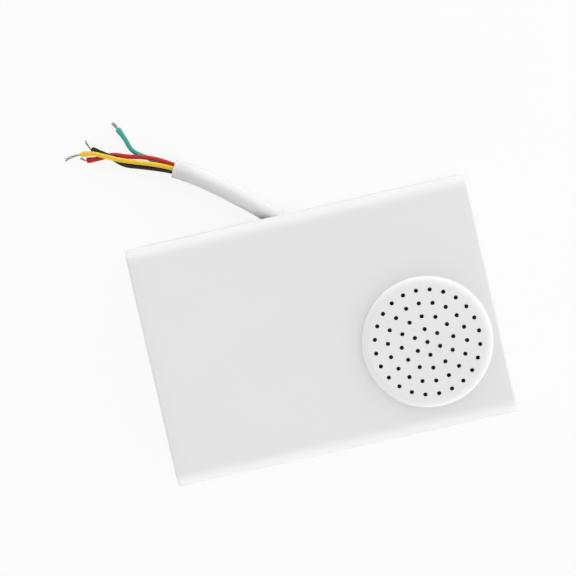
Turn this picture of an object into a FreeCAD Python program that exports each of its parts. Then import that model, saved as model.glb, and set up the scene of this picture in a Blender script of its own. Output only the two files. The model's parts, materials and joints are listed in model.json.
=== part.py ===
"""A wired four-core electronic door chime, lying on its back, built from its separate pieces.

A moulded box of two halves holds a melody circuit board and a small loudspeaker. The flat back
plate carries everything, the deep front cover lifts off it, and a round perforated grille stands in
the cover in front of the loudspeaker. A round cable comes out of a bay at the back of the top edge
and ends in four stripped cores.

Millimetres. +Z is the way the front faces, +Y is the edge that the cable leaves, +X is to the right
of someone who looks at the front. The origin is on the wall plane behind the middle of the box.
"""

import FreeCAD, Part
import math
import os
from collections import namedtuple

import Sketcher
from FreeCAD import Placement, Rotation, Vector

doc = FreeCAD.newDocument("door_chime")
sheet = doc.addObject("Spreadsheet::Sheet", "Sizes")
rows = []
nodes = {}

Circle = namedtuple("Circle", "x y radius")


# Sizes and how they are bound

class Size:
    """A length in millimetres with the expression that a property is bound to."""

    def __init__(self, value, text):
        self.value = float(value)
        self.text = text

    def __add__(self, other):
        other = as_size(other)
        return Size(self.value + other.value, f"({self.text} + {other.text})")

    def __sub__(self, other):
        other = as_size(other)
        return Size(self.value - other.value, f"({self.text} - {other.text})")

    def __mul__(self, other):
        other = as_size(other)
        return Size(self.value * other.value, f"({self.text} * {other.text})")

    def __truediv__(self, other):
        other = as_size(other)
        return Size(self.value / other.value, f"({self.text} / {other.text})")

    def __radd__(self, other):
        return as_size(other) + self

    def __rsub__(self, other):
        return as_size(other) - self

    def __rmul__(self, other):
        return as_size(other) * self

    def __neg__(self):
        return as_size(0) - self


def as_size(value):
    return value if isinstance(value, Size) else Size(value, f"({value!r})")


def size(name, value):
    """A driving dimension: one row of the sheet, with its name as the alias."""
    rows.append(name)
    row = len(rows)
    sheet.set(f"A{row}", name)
    sheet.set(f"B{row}", repr(value))
    sheet.setAlias(f"B{row}", name)
    return Size(value, f"Sizes.{name}")


def bind(thing, name, value):
    thing.setExpression(name, as_size(value).text)


def node(name, thing):
    thing.Label = name
    nodes[name] = thing
    return thing


# Driving dimensions of the case
case_length = size("case_length", 120.0)
case_width = size("case_width", 84.0)
case_depth = size("case_depth", 28.0)
wall = size("wall", 2.2)
long_edge_radius = size("long_edge_radius", 5.5)
end_edge_radius = size("end_edge_radius", 1.0)
skirt_gap = size("skirt_gap", 0.4)
cover_clearance = size("cover_clearance", 0.3)
plate_thickness = size("plate_thickness", 2.0)
rim_height = size("rim_height", 4.0)
rim_thickness = size("rim_thickness", 1.6)

# Screws and the posts that take them
screw_radius = size("screw_radius", 1.1)
screw_head_radius = size("screw_head_radius", 2.1)
screw_head_height = size("screw_head_height", 1.5)
screw_slot_depth = size("screw_slot_depth", 0.6)
screw_slot_width = size("screw_slot_width", 0.6)
screw_tip_gap = size("screw_tip_gap", 0.5)
bore_gap = size("bore_gap", 0.05)
hole_gap = size("hole_gap", 0.2)
post_wall = size("post_wall", 1.5)
boss_inset = size("boss_inset", 7.0)
boss_seat_height = size("boss_seat_height", 2.5)
boss_seat_gap = size("boss_seat_gap", 0.2)
cover_screw_length = size("cover_screw_length", 12.0)
head_recess = size("head_recess", 0.3)

# Wall fixings in the back plate
keyhole_end_inset = size("keyhole_end_inset", 9.0)
keyhole_side_inset = size("keyhole_side_inset", 22.0)
keyhole_head_radius = size("keyhole_head_radius", 4.0)
keyhole_slot_radius = size("keyhole_slot_radius", 2.1)
keyhole_slot_run = size("keyhole_slot_run", 7.0)
fixing_end_inset = size("fixing_end_inset", 8.0)
fixing_side_inset = size("fixing_side_inset", 14.0)
fixing_radius = size("fixing_radius", 2.1)

# Grille
grille_end_inset = size("grille_end_inset", 25.3)
grille_side_inset = size("grille_side_inset", 30.6)
grille_radius = size("grille_radius", 22.5)
grille_height = size("grille_height", 2.0)
grille_edge_radius = size("grille_edge_radius", 1.8)
grille_thickness = size("grille_thickness", 1.6)
grille_spigot_radius = size("grille_spigot_radius", 20.5)
grille_spigot_wall = size("grille_spigot_wall", 1.5)
claw_width = size("claw_width", 6.0)
claw_depth = size("claw_depth", 1.4)
claw_reach = size("claw_reach", 0.7)
claw_gap = size("claw_gap", 0.1)
hole_pitch = size("hole_pitch", 4.5)
hole_radius = size("hole_radius", 0.75)
ring_turns = (30, 0, 10, 0)

# Cable, its bay, grommet and clamp
cable_radius = size("cable_radius", 3.3)
jacket_wall = size("jacket_wall", 0.85)
strip_depth = size("strip_depth", 6.0)
core_radius = size("core_radius", 0.8)
cable_row_inset = size("cable_row_inset", 9.0)
cable_level = size("cable_level", 7.1)
bay_left = size("bay_left", -17.0)
bay_right = size("bay_right", 20.0)
bay_width = size("bay_width", 16.0)
bay_wall = size("bay_wall", 1.6)
bay_head_gap = size("bay_head_gap", 0.2)
notch_left = size("notch_left", -15.5)
notch_right = size("notch_right", 2.0)
notch_height = size("notch_height", 9.4)
grommet_wall = size("grommet_wall", 0.9)
grommet_lip = size("grommet_lip", 0.7)
grommet_flange = size("grommet_flange", 1.4)
grommet_taper = size("grommet_taper", 0.3)
clamp_gap = size("clamp_gap", 5.0)
clamp_length = size("clamp_length", 4.0)
clamp_screw_offset = size("clamp_screw_offset", 6.0)
clamp_split = size("clamp_split", 0.4)
clamp_top = size("clamp_top", 1.8)

# Circuit board
board_end_inset = size("board_end_inset", 15.0)
board_side_inset = size("board_side_inset", 8.0)
board_length = size("board_length", 53.0)
board_width = size("board_width", 50.0)
board_thickness = size("board_thickness", 1.6)
board_height = size("board_height", 4.0)
board_hole_inset = size("board_hole_inset", 3.5)
board_screw_grip = size("board_screw_grip", 3.2)

# Parts on the board
chip_length = size("chip_length", 9.4)
chip_width = size("chip_width", 6.4)
chip_height = size("chip_height", 3.3)
chip_lift = size("chip_lift", 0.5)
chip_notch_radius = size("chip_notch_radius", 0.9)
chip_notch_depth = size("chip_notch_depth", 0.4)
leg_pitch = size("leg_pitch", 2.54)
leg_width = size("leg_width", 0.5)
leg_reach = size("leg_reach", 0.75)
power_capacitor_end_inset = size("power_capacitor_end_inset", 15.0)
power_capacitor_side_inset = size("power_capacitor_side_inset", 9.0)
power_capacitor_radius = size("power_capacitor_radius", 5.0)
power_capacitor_height = size("power_capacitor_height", 15.0)
small_capacitor_radius = size("small_capacitor_radius", 2.5)
small_capacitor_height = size("small_capacitor_height", 11.0)
capacitor_foot = size("capacitor_foot", 1.5)
capacitor_groove = size("capacitor_groove", 0.35)
disc_capacitor_radius = size("disc_capacitor_radius", 2.6)
disc_capacitor_thickness = size("disc_capacitor_thickness", 1.8)
disc_capacitor_lift = size("disc_capacitor_lift", 0.6)
disc_lead_spread = size("disc_lead_spread", 1.25)
resistor_radius = size("resistor_radius", 1.15)
resistor_length = size("resistor_length", 6.3)
diode_radius = size("diode_radius", 1.3)
diode_length = size("diode_length", 5.0)
resistor_pitch = size("resistor_pitch", 4.0)
resistor_end_inset = size("resistor_end_inset", 8.0)
resistor_side_inset = size("resistor_side_inset", 6.0)
diode_pitch = size("diode_pitch", 5.0)
diode_end_inset = size("diode_end_inset", 11.0)
diode_side_inset = size("diode_side_inset", 7.0)
barrel_lift = size("barrel_lift", 0.2)
lead_radius = size("lead_radius", 0.3)
lead_foot_radius = size("lead_foot_radius", 0.33)
lead_overhang = size("lead_overhang", 1.6)
transistor_radius = size("transistor_radius", 2.35)
transistor_height = size("transistor_height", 4.6)
transistor_lift = size("transistor_lift", 2.0)
transistor_flat = size("transistor_flat", 1.2)
transistor_leg_pitch = size("transistor_leg_pitch", 1.27)
header_length = size("header_length", 6.5)
header_height = size("header_height", 5.8)
header_pitch = size("header_pitch", 2.5)
header_margin = size("header_margin", 1.85)
header_entry_height = size("header_entry_height", 3.2)
header_entry_depth = size("header_entry_depth", 1.5)
header_key_height = size("header_key_height", 1.0)
header_key_width = size("header_key_width", 1.2)
cable_header_rise = size("cable_header_rise", 37.0)
speaker_header_rise = size("speaker_header_rise", 20.0)

# Loudspeaker
speaker_radius = size("speaker_radius", 20.0)
speaker_rim_level = size("speaker_rim_level", 22.6)
basket_steel = size("basket_steel", 0.8)
flange_width = size("flange_width", 2.6)
basket_floor_radius = size("basket_floor_radius", 11.4)
basket_floor_level = size("basket_floor_level", 13.2)
basket_skin = size("basket_skin", 0.6)
basket_bore_radius = size("basket_bore_radius", 5.2)
spider_seat_radius = size("spider_seat_radius", 9.0)
spider_seat_height = size("spider_seat_height", 1.2)
window_width = size("window_width", 7.0)
window_low = size("window_low", 15.8)
window_high = size("window_high", 20.6)
top_plate_radius = size("top_plate_radius", 11.0)
top_plate_thickness = size("top_plate_thickness", 2.0)
magnet_radius = size("magnet_radius", 12.5)
magnet_bore_radius = size("magnet_bore_radius", 6.0)
magnet_thickness = size("magnet_thickness", 5.0)
yoke_radius = size("yoke_radius", 11.0)
yoke_thickness = size("yoke_thickness", 1.8)
pole_radius = size("pole_radius", 3.25)
pole_gap = size("pole_gap", 0.25)
former_wall = size("former_wall", 0.25)
winding_wall = size("winding_wall", 0.35)
winding_height = size("winding_height", 2.8)
winding_gap = size("winding_gap", 0.25)
coil_foot_gap = size("coil_foot_gap", 2.6)
cone_neck_level = size("cone_neck_level", 16.6)
cone_paper = size("cone_paper", 0.4)
cone_lip_width = size("cone_lip_width", 1.1)
cone_inset = size("cone_inset", 5.3)
dust_cap_radius = size("dust_cap_radius", 5.6)
dust_cap_height = size("dust_cap_height", 1.6)
surround_skin = size("surround_skin", 0.3)
surround_roll_radius = size("surround_roll_radius", 1.15)
surround_lip_inset = size("surround_lip_inset", 1.1)
surround_lip_gap = size("surround_lip_gap", 0.2)
spider_rings = 3
spider_wave = size("spider_wave", 0.35)
spider_cloth = size("spider_cloth", 0.3)
spider_gap = size("spider_gap", 0.2)
gasket_side_gap = size("gasket_side_gap", 0.2)
gasket_gap = size("gasket_gap", 0.4)
speaker_post_circle = size("speaker_post_circle", 22.3)
speaker_post_radius = size("speaker_post_radius", 3.0)
speaker_post_angles = (45, 165, 285)
speaker_screw_length = size("speaker_screw_length", 8.0)
washer_radius = size("washer_radius", 3.2)
washer_thickness = size("washer_thickness", 0.5)
terminal_length = size("terminal_length", 6.0)
terminal_width = size("terminal_width", 2.2)
terminal_thickness = size("terminal_thickness", 1.6)
terminal_inset = size("terminal_inset", 0.3)
terminal_drop = size("terminal_drop", 3.6)
terminal_lug = size("terminal_lug", 1.6)
terminal_pitch = size("terminal_pitch", 3.0)
lug_width = size("lug_width", 1.0)
lug_thickness = size("lug_thickness", 0.5)
speaker_lead_radius = size("speaker_lead_radius", 0.6)

# Conductors
conductor_radius = size("conductor_radius", 0.38)
tinned_radius = size("tinned_radius", 0.55)

# Worked out from the driving dimensions
end_x = case_length / 2
side_y = case_width / 2
ceiling = case_depth - wall
inner_x = end_x - wall
inner_y = side_y - wall
plate_x = inner_x - cover_clearance
plate_y = inner_y - cover_clearance
keyhole_x = end_x - keyhole_end_inset
keyhole_rise = side_y - keyhole_side_inset
fixing_x = end_x - fixing_end_inset
fixing_rise = fixing_side_inset - side_y
grille_x = end_x - grille_end_inset
grille_y = grille_side_inset - side_y
cable_row = plate_y - cable_row_inset
bay_bottom = plate_y - bay_width
clamp_left = bay_right + clamp_gap
board_left = board_end_inset - end_x
board_bottom = board_side_inset - side_y
boss_x = end_x - boss_inset
boss_y = side_y - boss_inset
boss_seat_level = plate_thickness + boss_seat_height
post_radius = screw_radius + post_wall
bay_top = cable_level + cable_radius + grommet_wall + grommet_lip + bay_head_gap
grommet_radius = cable_radius + grommet_wall
grommet_flange_radius = grommet_radius + grommet_lip
board_right = board_left + board_length
board_top_y = board_bottom + board_width
board_level = plate_thickness + board_height
board_face = board_level + board_thickness
board_hole_spread = (board_length / 2 - board_hole_inset, board_width / 2 - board_hole_inset)
board_middle = (board_left + board_length / 2, board_bottom + board_width / 2)
cable_header_y = board_bottom + cable_header_rise
speaker_header_y = board_bottom + speaker_header_rise
flange_level = speaker_rim_level - basket_steel
floor_face = basket_floor_level + basket_steel
spider_level = floor_face + spider_seat_height
magnet_top = basket_floor_level - top_plate_thickness
yoke_top = magnet_top - magnet_thickness
flange_foot_radius = speaker_radius - flange_width
cone_radius = speaker_radius - cone_inset
cone_lip_radius = cone_radius - cone_lip_width
surround_lip_radius = speaker_radius - surround_lip_inset
former_radius = pole_radius + pole_gap
coil_radius = former_radius + former_wall
roll_circle = cone_radius + surround_roll_radius + surround_skin
roll_foot_radius = roll_circle + surround_roll_radius + surround_skin
basket_slope = (flange_foot_radius - basket_floor_radius) / (flange_level - basket_floor_level)


def spot(name, across, up):
    """A driven place on the board, from the board's left and bottom edges."""
    return board_left + size(f"{name}_across", across), board_bottom + size(f"{name}_up", up)


# Places on the board
melody_chip_spot = spot("melody_chip", 19.0, 32.0)
amplifier_chip_spot = spot("amplifier_chip", 33.0, 24.0)
transistor_spot = spot("transistor", 43.0, 10.0)
can_spots = [spot("can_one", 12.0, 18.5), spot("can_two", 19.0, 18.5), spot("can_three", 34.0, 14.0)]
disc_spots = [spot("disc_one", 5.0, 31.0), spot("disc_two", 5.0, 24.0), spot("disc_three", 33.0, 35.0)]

# How far a cut runs past the face that it leaves by
overcut = 1.0


# PartDesign helpers

def new_body(name, x=0, y=0, z=0):
    body = doc.addObject("PartDesign::Body", name)
    bind(body, "Placement.Base.x", x)
    bind(body, "Placement.Base.y", y)
    bind(body, "Placement.Base.z", z)
    return node(name, body)


def pin_point(sketch, geometry, end, x, y):
    """Holds one point of a sketch at its distances from the sketch's origin."""
    for kind, value in (("DistanceX", as_size(x)), ("DistanceY", as_size(y))):
        index = sketch.addConstraint(Sketcher.Constraint(kind, -1, 1, geometry, end, value.value))
        sketch.setExpression(f"Constraints[{index}]", value.text)


def draw(sketch, outline):
    """Draws a Circle, or a closed polygon from its corners."""
    if isinstance(outline, Circle):
        x, y, radius = (as_size(value) for value in outline)
        circle = Part.Circle(Vector(x.value, y.value, 0), Vector(0, 0, 1), radius.value)
        geometry = sketch.addGeometry(circle, False)
        pin_point(sketch, geometry, 3, x, y)
        index = sketch.addConstraint(Sketcher.Constraint("Radius", geometry, radius.value))
        sketch.setExpression(f"Constraints[{index}]", radius.text)
        return
    corners = [(as_size(x), as_size(y)) for x, y in outline]
    points = [Vector(x.value, y.value, 0) for x, y in corners]
    first = sketch.GeometryCount
    for start, stop in zip(points, points[1:] + points[:1]):
        sketch.addGeometry(Part.LineSegment(start, stop), False)
    for index, (x, y) in enumerate(corners):
        following = first + (index + 1) % len(corners)
        sketch.addConstraint(Sketcher.Constraint("Coincident", first + index, 2, following, 1))
        pin_point(sketch, first + index, 1, x, y)


def new_sketch(body, plane, outlines, offset):
    sketch = body.newObject("Sketcher::SketchObject", "Outline")
    support = next(item for item in body.Origin.OriginFeatures if item.Role == plane + "_Plane")
    sketch.AttachmentSupport = [(support, "")]
    sketch.MapMode = "FlatFace"
    bind(sketch, "AttachmentOffset.Base.z", offset)
    for outline in outlines:
        draw(sketch, outline)
    return sketch


def pad(body, plane, outlines, low, high):
    """Adds the outlines between two levels along the axis that the plane is square to."""
    offset = -as_size(high) if plane == "XZ" else low
    feature = body.newObject("PartDesign::Pad", "Pad")
    feature.Profile = new_sketch(body, plane, outlines, offset)
    bind(feature, "Length", as_size(high) - low)
    body.Tip = feature
    return feature


def cut(body, plane, outlines, low, high):
    """Takes the outlines away between two levels along the axis that the plane is square to."""
    doc.recompute()
    before = body.Shape.Volume
    offset = -as_size(low) if plane == "XZ" else high
    feature = body.newObject("PartDesign::Pocket", "Pocket")
    feature.Profile = new_sketch(body, plane, outlines, offset)
    bind(feature, "Length", as_size(high) - low)
    body.Tip = feature
    doc.recompute()
    if not body.Shape.Volume < before - 0.001:
        raise ValueError(f"a pocket in {body.Label} takes nothing away")
    return feature


def turn(body, outline):
    """Turns an outline of (radius, height) corners about the body's Z axis."""
    feature = body.newObject("PartDesign::Revolution", "Turned")
    feature.Profile = new_sketch(body, "XZ", [outline], 0)
    feature.ReferenceAxis = (feature.Profile[0], ["V_Axis"])
    feature.Angle = 360
    body.Tip = feature
    return feature


def repeat_round(body, feature, count):
    """Repeats a feature evenly round the body's Z axis."""
    pattern = body.newObject("PartDesign::PolarPattern", "Ring")
    pattern.Originals = [feature]
    axis = next(item for item in body.Origin.OriginFeatures if item.Role == "Z_Axis")
    pattern.Axis = (axis, [""])
    pattern.Angle = 360
    pattern.Occurrences = count
    body.Tip = pattern
    return pattern


def round_edges(body, radius, chosen):
    """Rounds the edges of the body whose middle point and length the test chooses."""
    doc.recompute()
    tip = body.Tip
    names = []
    for index, edge in enumerate(tip.Shape.Edges):
        middle = edge.valueAt((edge.FirstParameter + edge.LastParameter) / 2)
        if chosen(middle, edge):
            names.append(f"Edge{index + 1}")
    feature = body.newObject("PartDesign::Fillet", "Rounding")
    feature.Base = (tip, names)
    bind(feature, "Radius", radius)
    body.Tip = feature
    return feature


def turned(name, outline, x=0, y=0, z=0):
    body = new_body(name, x, y, z)
    turn(body, outline)
    return body


def box_outline(left, bottom, right, top):
    return [(left, bottom), (right, bottom), (right, top), (left, top)]


# Part helpers

def place(thing, x, y, z, rotation=None):
    if rotation is not None:
        thing.Placement = Placement(Vector(), rotation)
    bind(thing, "Placement.Base.x", x)
    bind(thing, "Placement.Base.y", y)
    bind(thing, "Placement.Base.z", z)
    return thing


def block(left, bottom, low, length, width, height):
    made = doc.addObject("Part::Box", "Block")
    bind(made, "Length", length)
    bind(made, "Width", width)
    bind(made, "Height", height)
    return place(made, left, bottom, low)


def rod(x, y, low, radius, height, rotation=None):
    made = doc.addObject("Part::Cylinder", "Rod")
    bind(made, "Radius", radius)
    bind(made, "Height", height)
    return place(made, x, y, low, rotation)


def fuse(pieces):
    made = doc.addObject("Part::MultiFuse", "Joined")
    made.Shapes = pieces
    return made


def take(base, tool):
    made = doc.addObject("Part::Cut", "Taken")
    made.Base = base
    made.Tool = tool
    return made


def group(name, solids):
    """One node that holds alike solids, which stay separate."""
    made = doc.addObject("Part::Compound", "Group")
    made.Links = solids
    return node(name, made)


ALONG_X = Rotation(Vector(0, 1, 0), 90)
ALONG_Y = Rotation(Vector(1, 0, 0), -90)


def screw(x, y, seat, length, points_up=False):
    """A screw with its head on the seat, its shank into the post and a slot across the head."""
    way = -1 if points_up else 1
    head_low = seat - screw_head_height if points_up else seat
    head_end = seat + way * screw_head_height
    shank_low = seat if points_up else seat - length
    head = rod(x, y, head_low, screw_head_radius, screw_head_height)
    shank = rod(x, y, shank_low, screw_radius, length)
    slot_low = head_end if points_up else head_end - screw_slot_depth
    half = screw_head_radius + overcut
    slot = block(x - half, y - screw_slot_width / 2, slot_low, 2 * half, screw_slot_width, screw_slot_depth)
    return take(fuse([head, shank]), slot)


# Case

def corners(x, y):
    return [(across * x, along * y) for across in (-1, 1) for along in (-1, 1)]


def make_front_cover():
    cover = new_body("front_cover")
    pad(cover, "YZ", [box_outline(-side_y, skirt_gap, side_y, case_depth)], -end_x, end_x)

    def front_long_edge(middle, edge):
        return abs(middle.z - case_depth.value) < 0.01 and edge.Length > case_length.value - 0.01

    round_edges(cover, long_edge_radius, front_long_edge)

    def end_face_edge(middle, edge):
        on_end = abs(abs(middle.x) - end_x.value) < 0.01
        return on_end and middle.z > skirt_gap.value + 0.01

    round_edges(cover, end_edge_radius, end_face_edge)
    hollow_low = skirt_gap - overcut
    cut(cover, "YZ", [box_outline(-inner_y, hollow_low, inner_y, ceiling)], -inner_x, inner_x)

    def hollow_long_edge(middle, edge):
        at_ceiling = abs(middle.z - ceiling.value) < 0.01
        return at_ceiling and abs(abs(middle.y) - inner_y.value) < 0.01

    round_edges(cover, long_edge_radius - wall, hollow_long_edge)
    boss_foot = boss_seat_level + boss_seat_gap
    bosses = [Circle(x, y, post_radius) for x, y in corners(boss_x, boss_y)]
    pad(cover, "XY", bosses, boss_foot, case_depth - wall / 2)
    bores = [Circle(x, y, screw_radius + bore_gap) for x, y in corners(boss_x, boss_y)]
    bore_end = head_recess + screw_head_height + cover_screw_length + screw_tip_gap
    cut(cover, "XY", bores, boss_foot - overcut, bore_end)
    opening = Circle(grille_x, grille_y, grille_spigot_radius + bore_gap)
    cut(cover, "XY", [opening], ceiling - overcut, case_depth + overcut)
    notch = box_outline(notch_left, hollow_low, notch_right, notch_height)
    cut(cover, "XZ", [notch], inner_y - overcut, side_y + overcut)


def make_back_plate():
    plate = new_body("back_plate")
    pad(plate, "XY", [box_outline(-plate_x, -plate_y, plate_x, plate_y)], 0, plate_thickness)
    rim_x = plate_x - rim_thickness
    rim_y = plate_y - rim_thickness
    rim = [box_outline(-plate_x, -plate_y, plate_x, plate_y), box_outline(-rim_x, -rim_y, rim_x, rim_y)]
    sink = plate_thickness / 2
    pad(plate, "XY", rim, sink, plate_thickness + rim_height)
    bay = box_outline(bay_left - bay_wall, bay_bottom - bay_wall, bay_right + bay_wall, plate_y)
    pad(plate, "XY", [bay], sink, bay_top + bay_wall)
    clamp_right = clamp_left + clamp_length
    clamp_half = clamp_screw_offset + post_radius
    cradle = box_outline(clamp_left, cable_row - clamp_half, clamp_right, cable_row + clamp_half)
    pad(plate, "XY", [cradle], sink, cable_level - clamp_split / 2)
    seats = [Circle(x, y, post_radius + 1) for x, y in corners(boss_x, boss_y)]
    pad(plate, "XY", seats, sink, boss_seat_level)
    middle_x, middle_y = board_middle
    standoffs = [(middle_x + x, middle_y + y) for x, y in corners(*board_hole_spread)]
    pad(plate, "XY", [Circle(x, y, post_radius) for x, y in standoffs], sink, board_level)
    posts = [Circle(x, y, speaker_post_radius) for x, y in speaker_posts()]
    pad(plate, "XY", posts, sink, flange_level)

    hollow = box_outline(bay_left, bay_bottom, bay_right, plate_y + overcut)
    cut(plate, "XY", [hollow], -overcut, bay_top)
    bore = Circle(cable_row, cable_level, grommet_radius + bore_gap)
    cut(plate, "YZ", [bore], bay_right - overcut, bay_right + bay_wall + overcut)
    cable = Circle(cable_row, cable_level, cable_radius + bore_gap)
    cut(plate, "YZ", [cable], clamp_left - overcut, clamp_right + overcut)
    clamp_middle = clamp_left + clamp_length / 2
    rows_of_bores = [cable_row + side * clamp_screw_offset for side in (-1, 1)]
    clamp_bores = [Circle(clamp_middle, y, screw_radius + bore_gap) for y in rows_of_bores]
    cut(plate, "XY", clamp_bores, plate_thickness - screw_tip_gap, cable_level)
    head_seat = head_recess + screw_head_height
    recesses = [Circle(x, y, screw_head_radius + hole_gap) for x, y in corners(boss_x, boss_y)]
    cut(plate, "XY", recesses, -overcut, head_seat)
    passages = [Circle(x, y, screw_radius + hole_gap) for x, y in corners(boss_x, boss_y)]
    cut(plate, "XY", passages, head_seat - overcut, boss_seat_level + overcut)
    board_bores = [Circle(x, y, screw_radius + bore_gap) for x, y in standoffs]
    cut(plate, "XY", board_bores, board_level - board_screw_grip - screw_tip_gap, board_level + overcut)
    post_bores = [Circle(x, y, screw_radius + bore_gap) for x, y in speaker_posts()]
    bore_low = speaker_rim_level - speaker_screw_length - screw_tip_gap
    cut(plate, "XY", post_bores, bore_low, flange_level + overcut)
    fixings = [Circle(side * fixing_x, fixing_rise, fixing_radius) for side in (-1, 1)]
    through = plate_thickness + overcut
    cut(plate, "XY", fixings, -overcut, through)
    for side in (-1, 1):
        x = side * keyhole_x
        slot_end = keyhole_rise + keyhole_slot_run
        slot = box_outline(x - keyhole_slot_radius, keyhole_rise, x + keyhole_slot_radius, slot_end)
        cut(plate, "XY", [Circle(x, keyhole_rise, keyhole_head_radius)], -overcut, through)
        cut(plate, "XY", [slot], -overcut, through)
        cut(plate, "XY", [Circle(x, slot_end, keyhole_slot_radius)], -overcut, through)


def speaker_posts():
    places = []
    for degrees in speaker_post_angles:
        angle = math.radians(degrees)
        x = grille_x + speaker_post_circle * math.cos(angle)
        y = grille_y + speaker_post_circle * math.sin(angle)
        places.append((x, y))
    return places


def make_speaker_grille():
    """A round cap with a rounded rim, a spigot into the cover, three claws and rings of holes."""
    top = case_depth + grille_height
    inside = grille_spigot_radius - grille_spigot_wall
    outline = [
        (0, top),
        (grille_radius, top),
        (grille_radius, case_depth),
        (grille_spigot_radius, case_depth),
        (grille_spigot_radius, ceiling),
        (inside, ceiling),
        (inside, top - grille_thickness),
        (0, top - grille_thickness),
    ]
    grille = turned("speaker_grille", outline, grille_x, grille_y)

    def rim_edge(middle, edge):
        return abs(middle.z - top.value) < 0.01 and edge.Length > 6 * grille_radius.value

    round_edges(grille, grille_edge_radius, rim_edge)
    hook_top = ceiling - claw_gap
    stem = grille_spigot_radius - 3 * claw_gap
    heel = inside + claw_gap
    claw = [
        (heel, ceiling + claw_gap),
        (stem, ceiling + claw_gap),
        (stem, hook_top),
        (stem + claw_reach, hook_top),
        (stem + claw_reach, hook_top - claw_depth / 2),
        (stem, ceiling - claw_depth),
        (heel, ceiling - claw_depth),
    ]
    first = pad(grille, "XZ", [claw], -claw_width / 2, claw_width / 2)
    repeat_round(grille, first, 3)
    low = top - grille_thickness - overcut
    cut(grille, "XY", [Circle(0, 0, hole_radius)], low, top + overcut)
    for ring, degrees in enumerate(ring_turns, start=1):
        angle = math.radians(degrees)
        x = hole_pitch * (ring * math.cos(angle))
        y = hole_pitch * (ring * math.sin(angle))
        hole = cut(grille, "XY", [Circle(x, y, hole_radius)], low, top + overcut)
        repeat_round(grille, hole, 6 * ring)


def make_cover_screws():
    seat = head_recess + screw_head_height
    screws = [screw(x, y, seat, cover_screw_length, points_up=True) for x, y in corners(boss_x, boss_y)]
    group("cover_screws", screws)


# Circuit board and what is on it

def make_circuit_board():
    board = new_body("circuit_board")
    outline = box_outline(board_left, board_bottom, board_right, board_top_y)
    pad(board, "XY", [outline], board_level, board_face)
    middle_x, middle_y = board_middle
    places = [(middle_x + x, middle_y + y) for x, y in corners(*board_hole_spread)]
    holes = [Circle(x, y, screw_radius + hole_gap) for x, y in places]
    cut(board, "XY", holes, board_level - overcut, board_face + overcut)
    length = board_thickness + board_screw_grip
    group("board_screws", [screw(x, y, board_face, length) for x, y in places])


def make_chip(name, x, y):
    """A moulded eight-leg package with a pin-one notch, standing on its legs."""
    low = board_face + chip_lift
    case = block(x - chip_length / 2, y - chip_width / 2, low, chip_length, chip_width, chip_height)
    pieces = [case]
    for side in (-1, 1):
        edge = chip_width / 2 + leg_reach / 2
        for index in range(4):
            along = (index - 1.5) * leg_pitch
            leg_x = x + along - leg_width / 2
            leg_y = y + side * edge - leg_reach / 2
            pieces.append(block(leg_x, leg_y, board_face, leg_width, leg_reach, chip_lift + chip_height / 2))
    notch_low = low + chip_height - chip_notch_depth
    notch = rod(x - chip_length / 2, y, notch_low, chip_notch_radius, overcut)
    node(name, take(fuse(pieces), notch))


def capacitor_outline(radius, height):
    """Half the outline of a can with a crimp groove near its foot and a bevelled top."""
    return [
        (0, 0),
        (radius, 0),
        (radius, capacitor_foot),
        (radius - capacitor_groove, capacitor_foot + capacitor_groove),
        (radius - capacitor_groove, capacitor_foot + 2 * capacitor_groove),
        (radius, capacitor_foot + 3 * capacitor_groove),
        (radius, height - capacitor_groove),
        (radius - capacitor_groove, height),
        (0, height),
    ]


def make_capacitors():
    outline = capacitor_outline(power_capacitor_radius, power_capacitor_height)
    x = board_right - power_capacitor_end_inset
    y = board_top_y - power_capacitor_side_inset
    turned("power_capacitor", outline, x, y, board_face)
    cans = []
    for x, y in can_spots:
        can = doc.addObject("PartDesign::Body", "Can")
        turn(can, capacitor_outline(small_capacitor_radius, small_capacitor_height))
        cans.append(place(can, x, y, board_face))
    group("signal_capacitors", cans)
    discs = []
    for x, y in disc_spots:
        middle = board_face + disc_capacitor_radius + disc_capacitor_lift
        near = y - disc_capacitor_thickness / 2
        disc = rod(x, near, middle, disc_capacitor_radius, disc_capacitor_thickness, ALONG_Y)
        wires = []
        for side in (-1, 1):
            wire_x = x + side * disc_lead_spread
            wires.append(rod(wire_x, y, board_face, lead_radius, disc_capacitor_radius))
        discs.append(fuse([disc, *wires]))
    group("ceramic_capacitors", discs)


def axial_part(x, y, radius, length):
    """A barrel lying along Y with its two wires bent down into the board."""
    rise = radius + barrel_lift
    barrel = rod(x, y - length / 2, board_face + rise, radius, length, ALONG_Y)
    wire_length = length + 2 * lead_overhang
    wire = rod(x, y - wire_length / 2, board_face + rise, lead_radius, wire_length, ALONG_Y)
    ends = []
    for side in (-1, 1):
        end_y = y + side * (wire_length - lead_radius) / 2
        ends.append(rod(x, end_y, board_face, lead_foot_radius, rise + lead_foot_radius))
    return fuse([barrel, wire, *ends])


def make_small_parts():
    resistors = []
    for index in range(6):
        x = board_left + resistor_end_inset + index * resistor_pitch
        y = board_top_y - resistor_side_inset
        resistors.append(axial_part(x, y, resistor_radius, resistor_length))
    group("resistors", resistors)
    diodes = []
    for index in range(4):
        x = board_left + diode_end_inset + index * diode_pitch
        y = board_bottom + diode_side_inset
        diodes.append(axial_part(x, y, diode_radius, diode_length))
    group("diodes", diodes)
    x, y = transistor_spot
    low = board_face + transistor_lift
    case = rod(x, y, low, transistor_radius, transistor_height)
    wide = 2 * transistor_radius
    flat_height = transistor_height + 2 * overcut
    flat = block(x - wide / 2, y + transistor_flat, low - overcut, wide, wide, flat_height)
    legs = []
    for side in (-1, 0, 1):
        leg_x = x + side * transistor_leg_pitch
        legs.append(rod(leg_x, y, board_face, lead_radius, transistor_lift + transistor_flat))
    node("transistor", fuse([take(case, flat), *legs]))


def header_entries(middle_y, ways):
    return [middle_y + (index - (ways - 1) / 2) * header_pitch for index in range(ways)]


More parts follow.
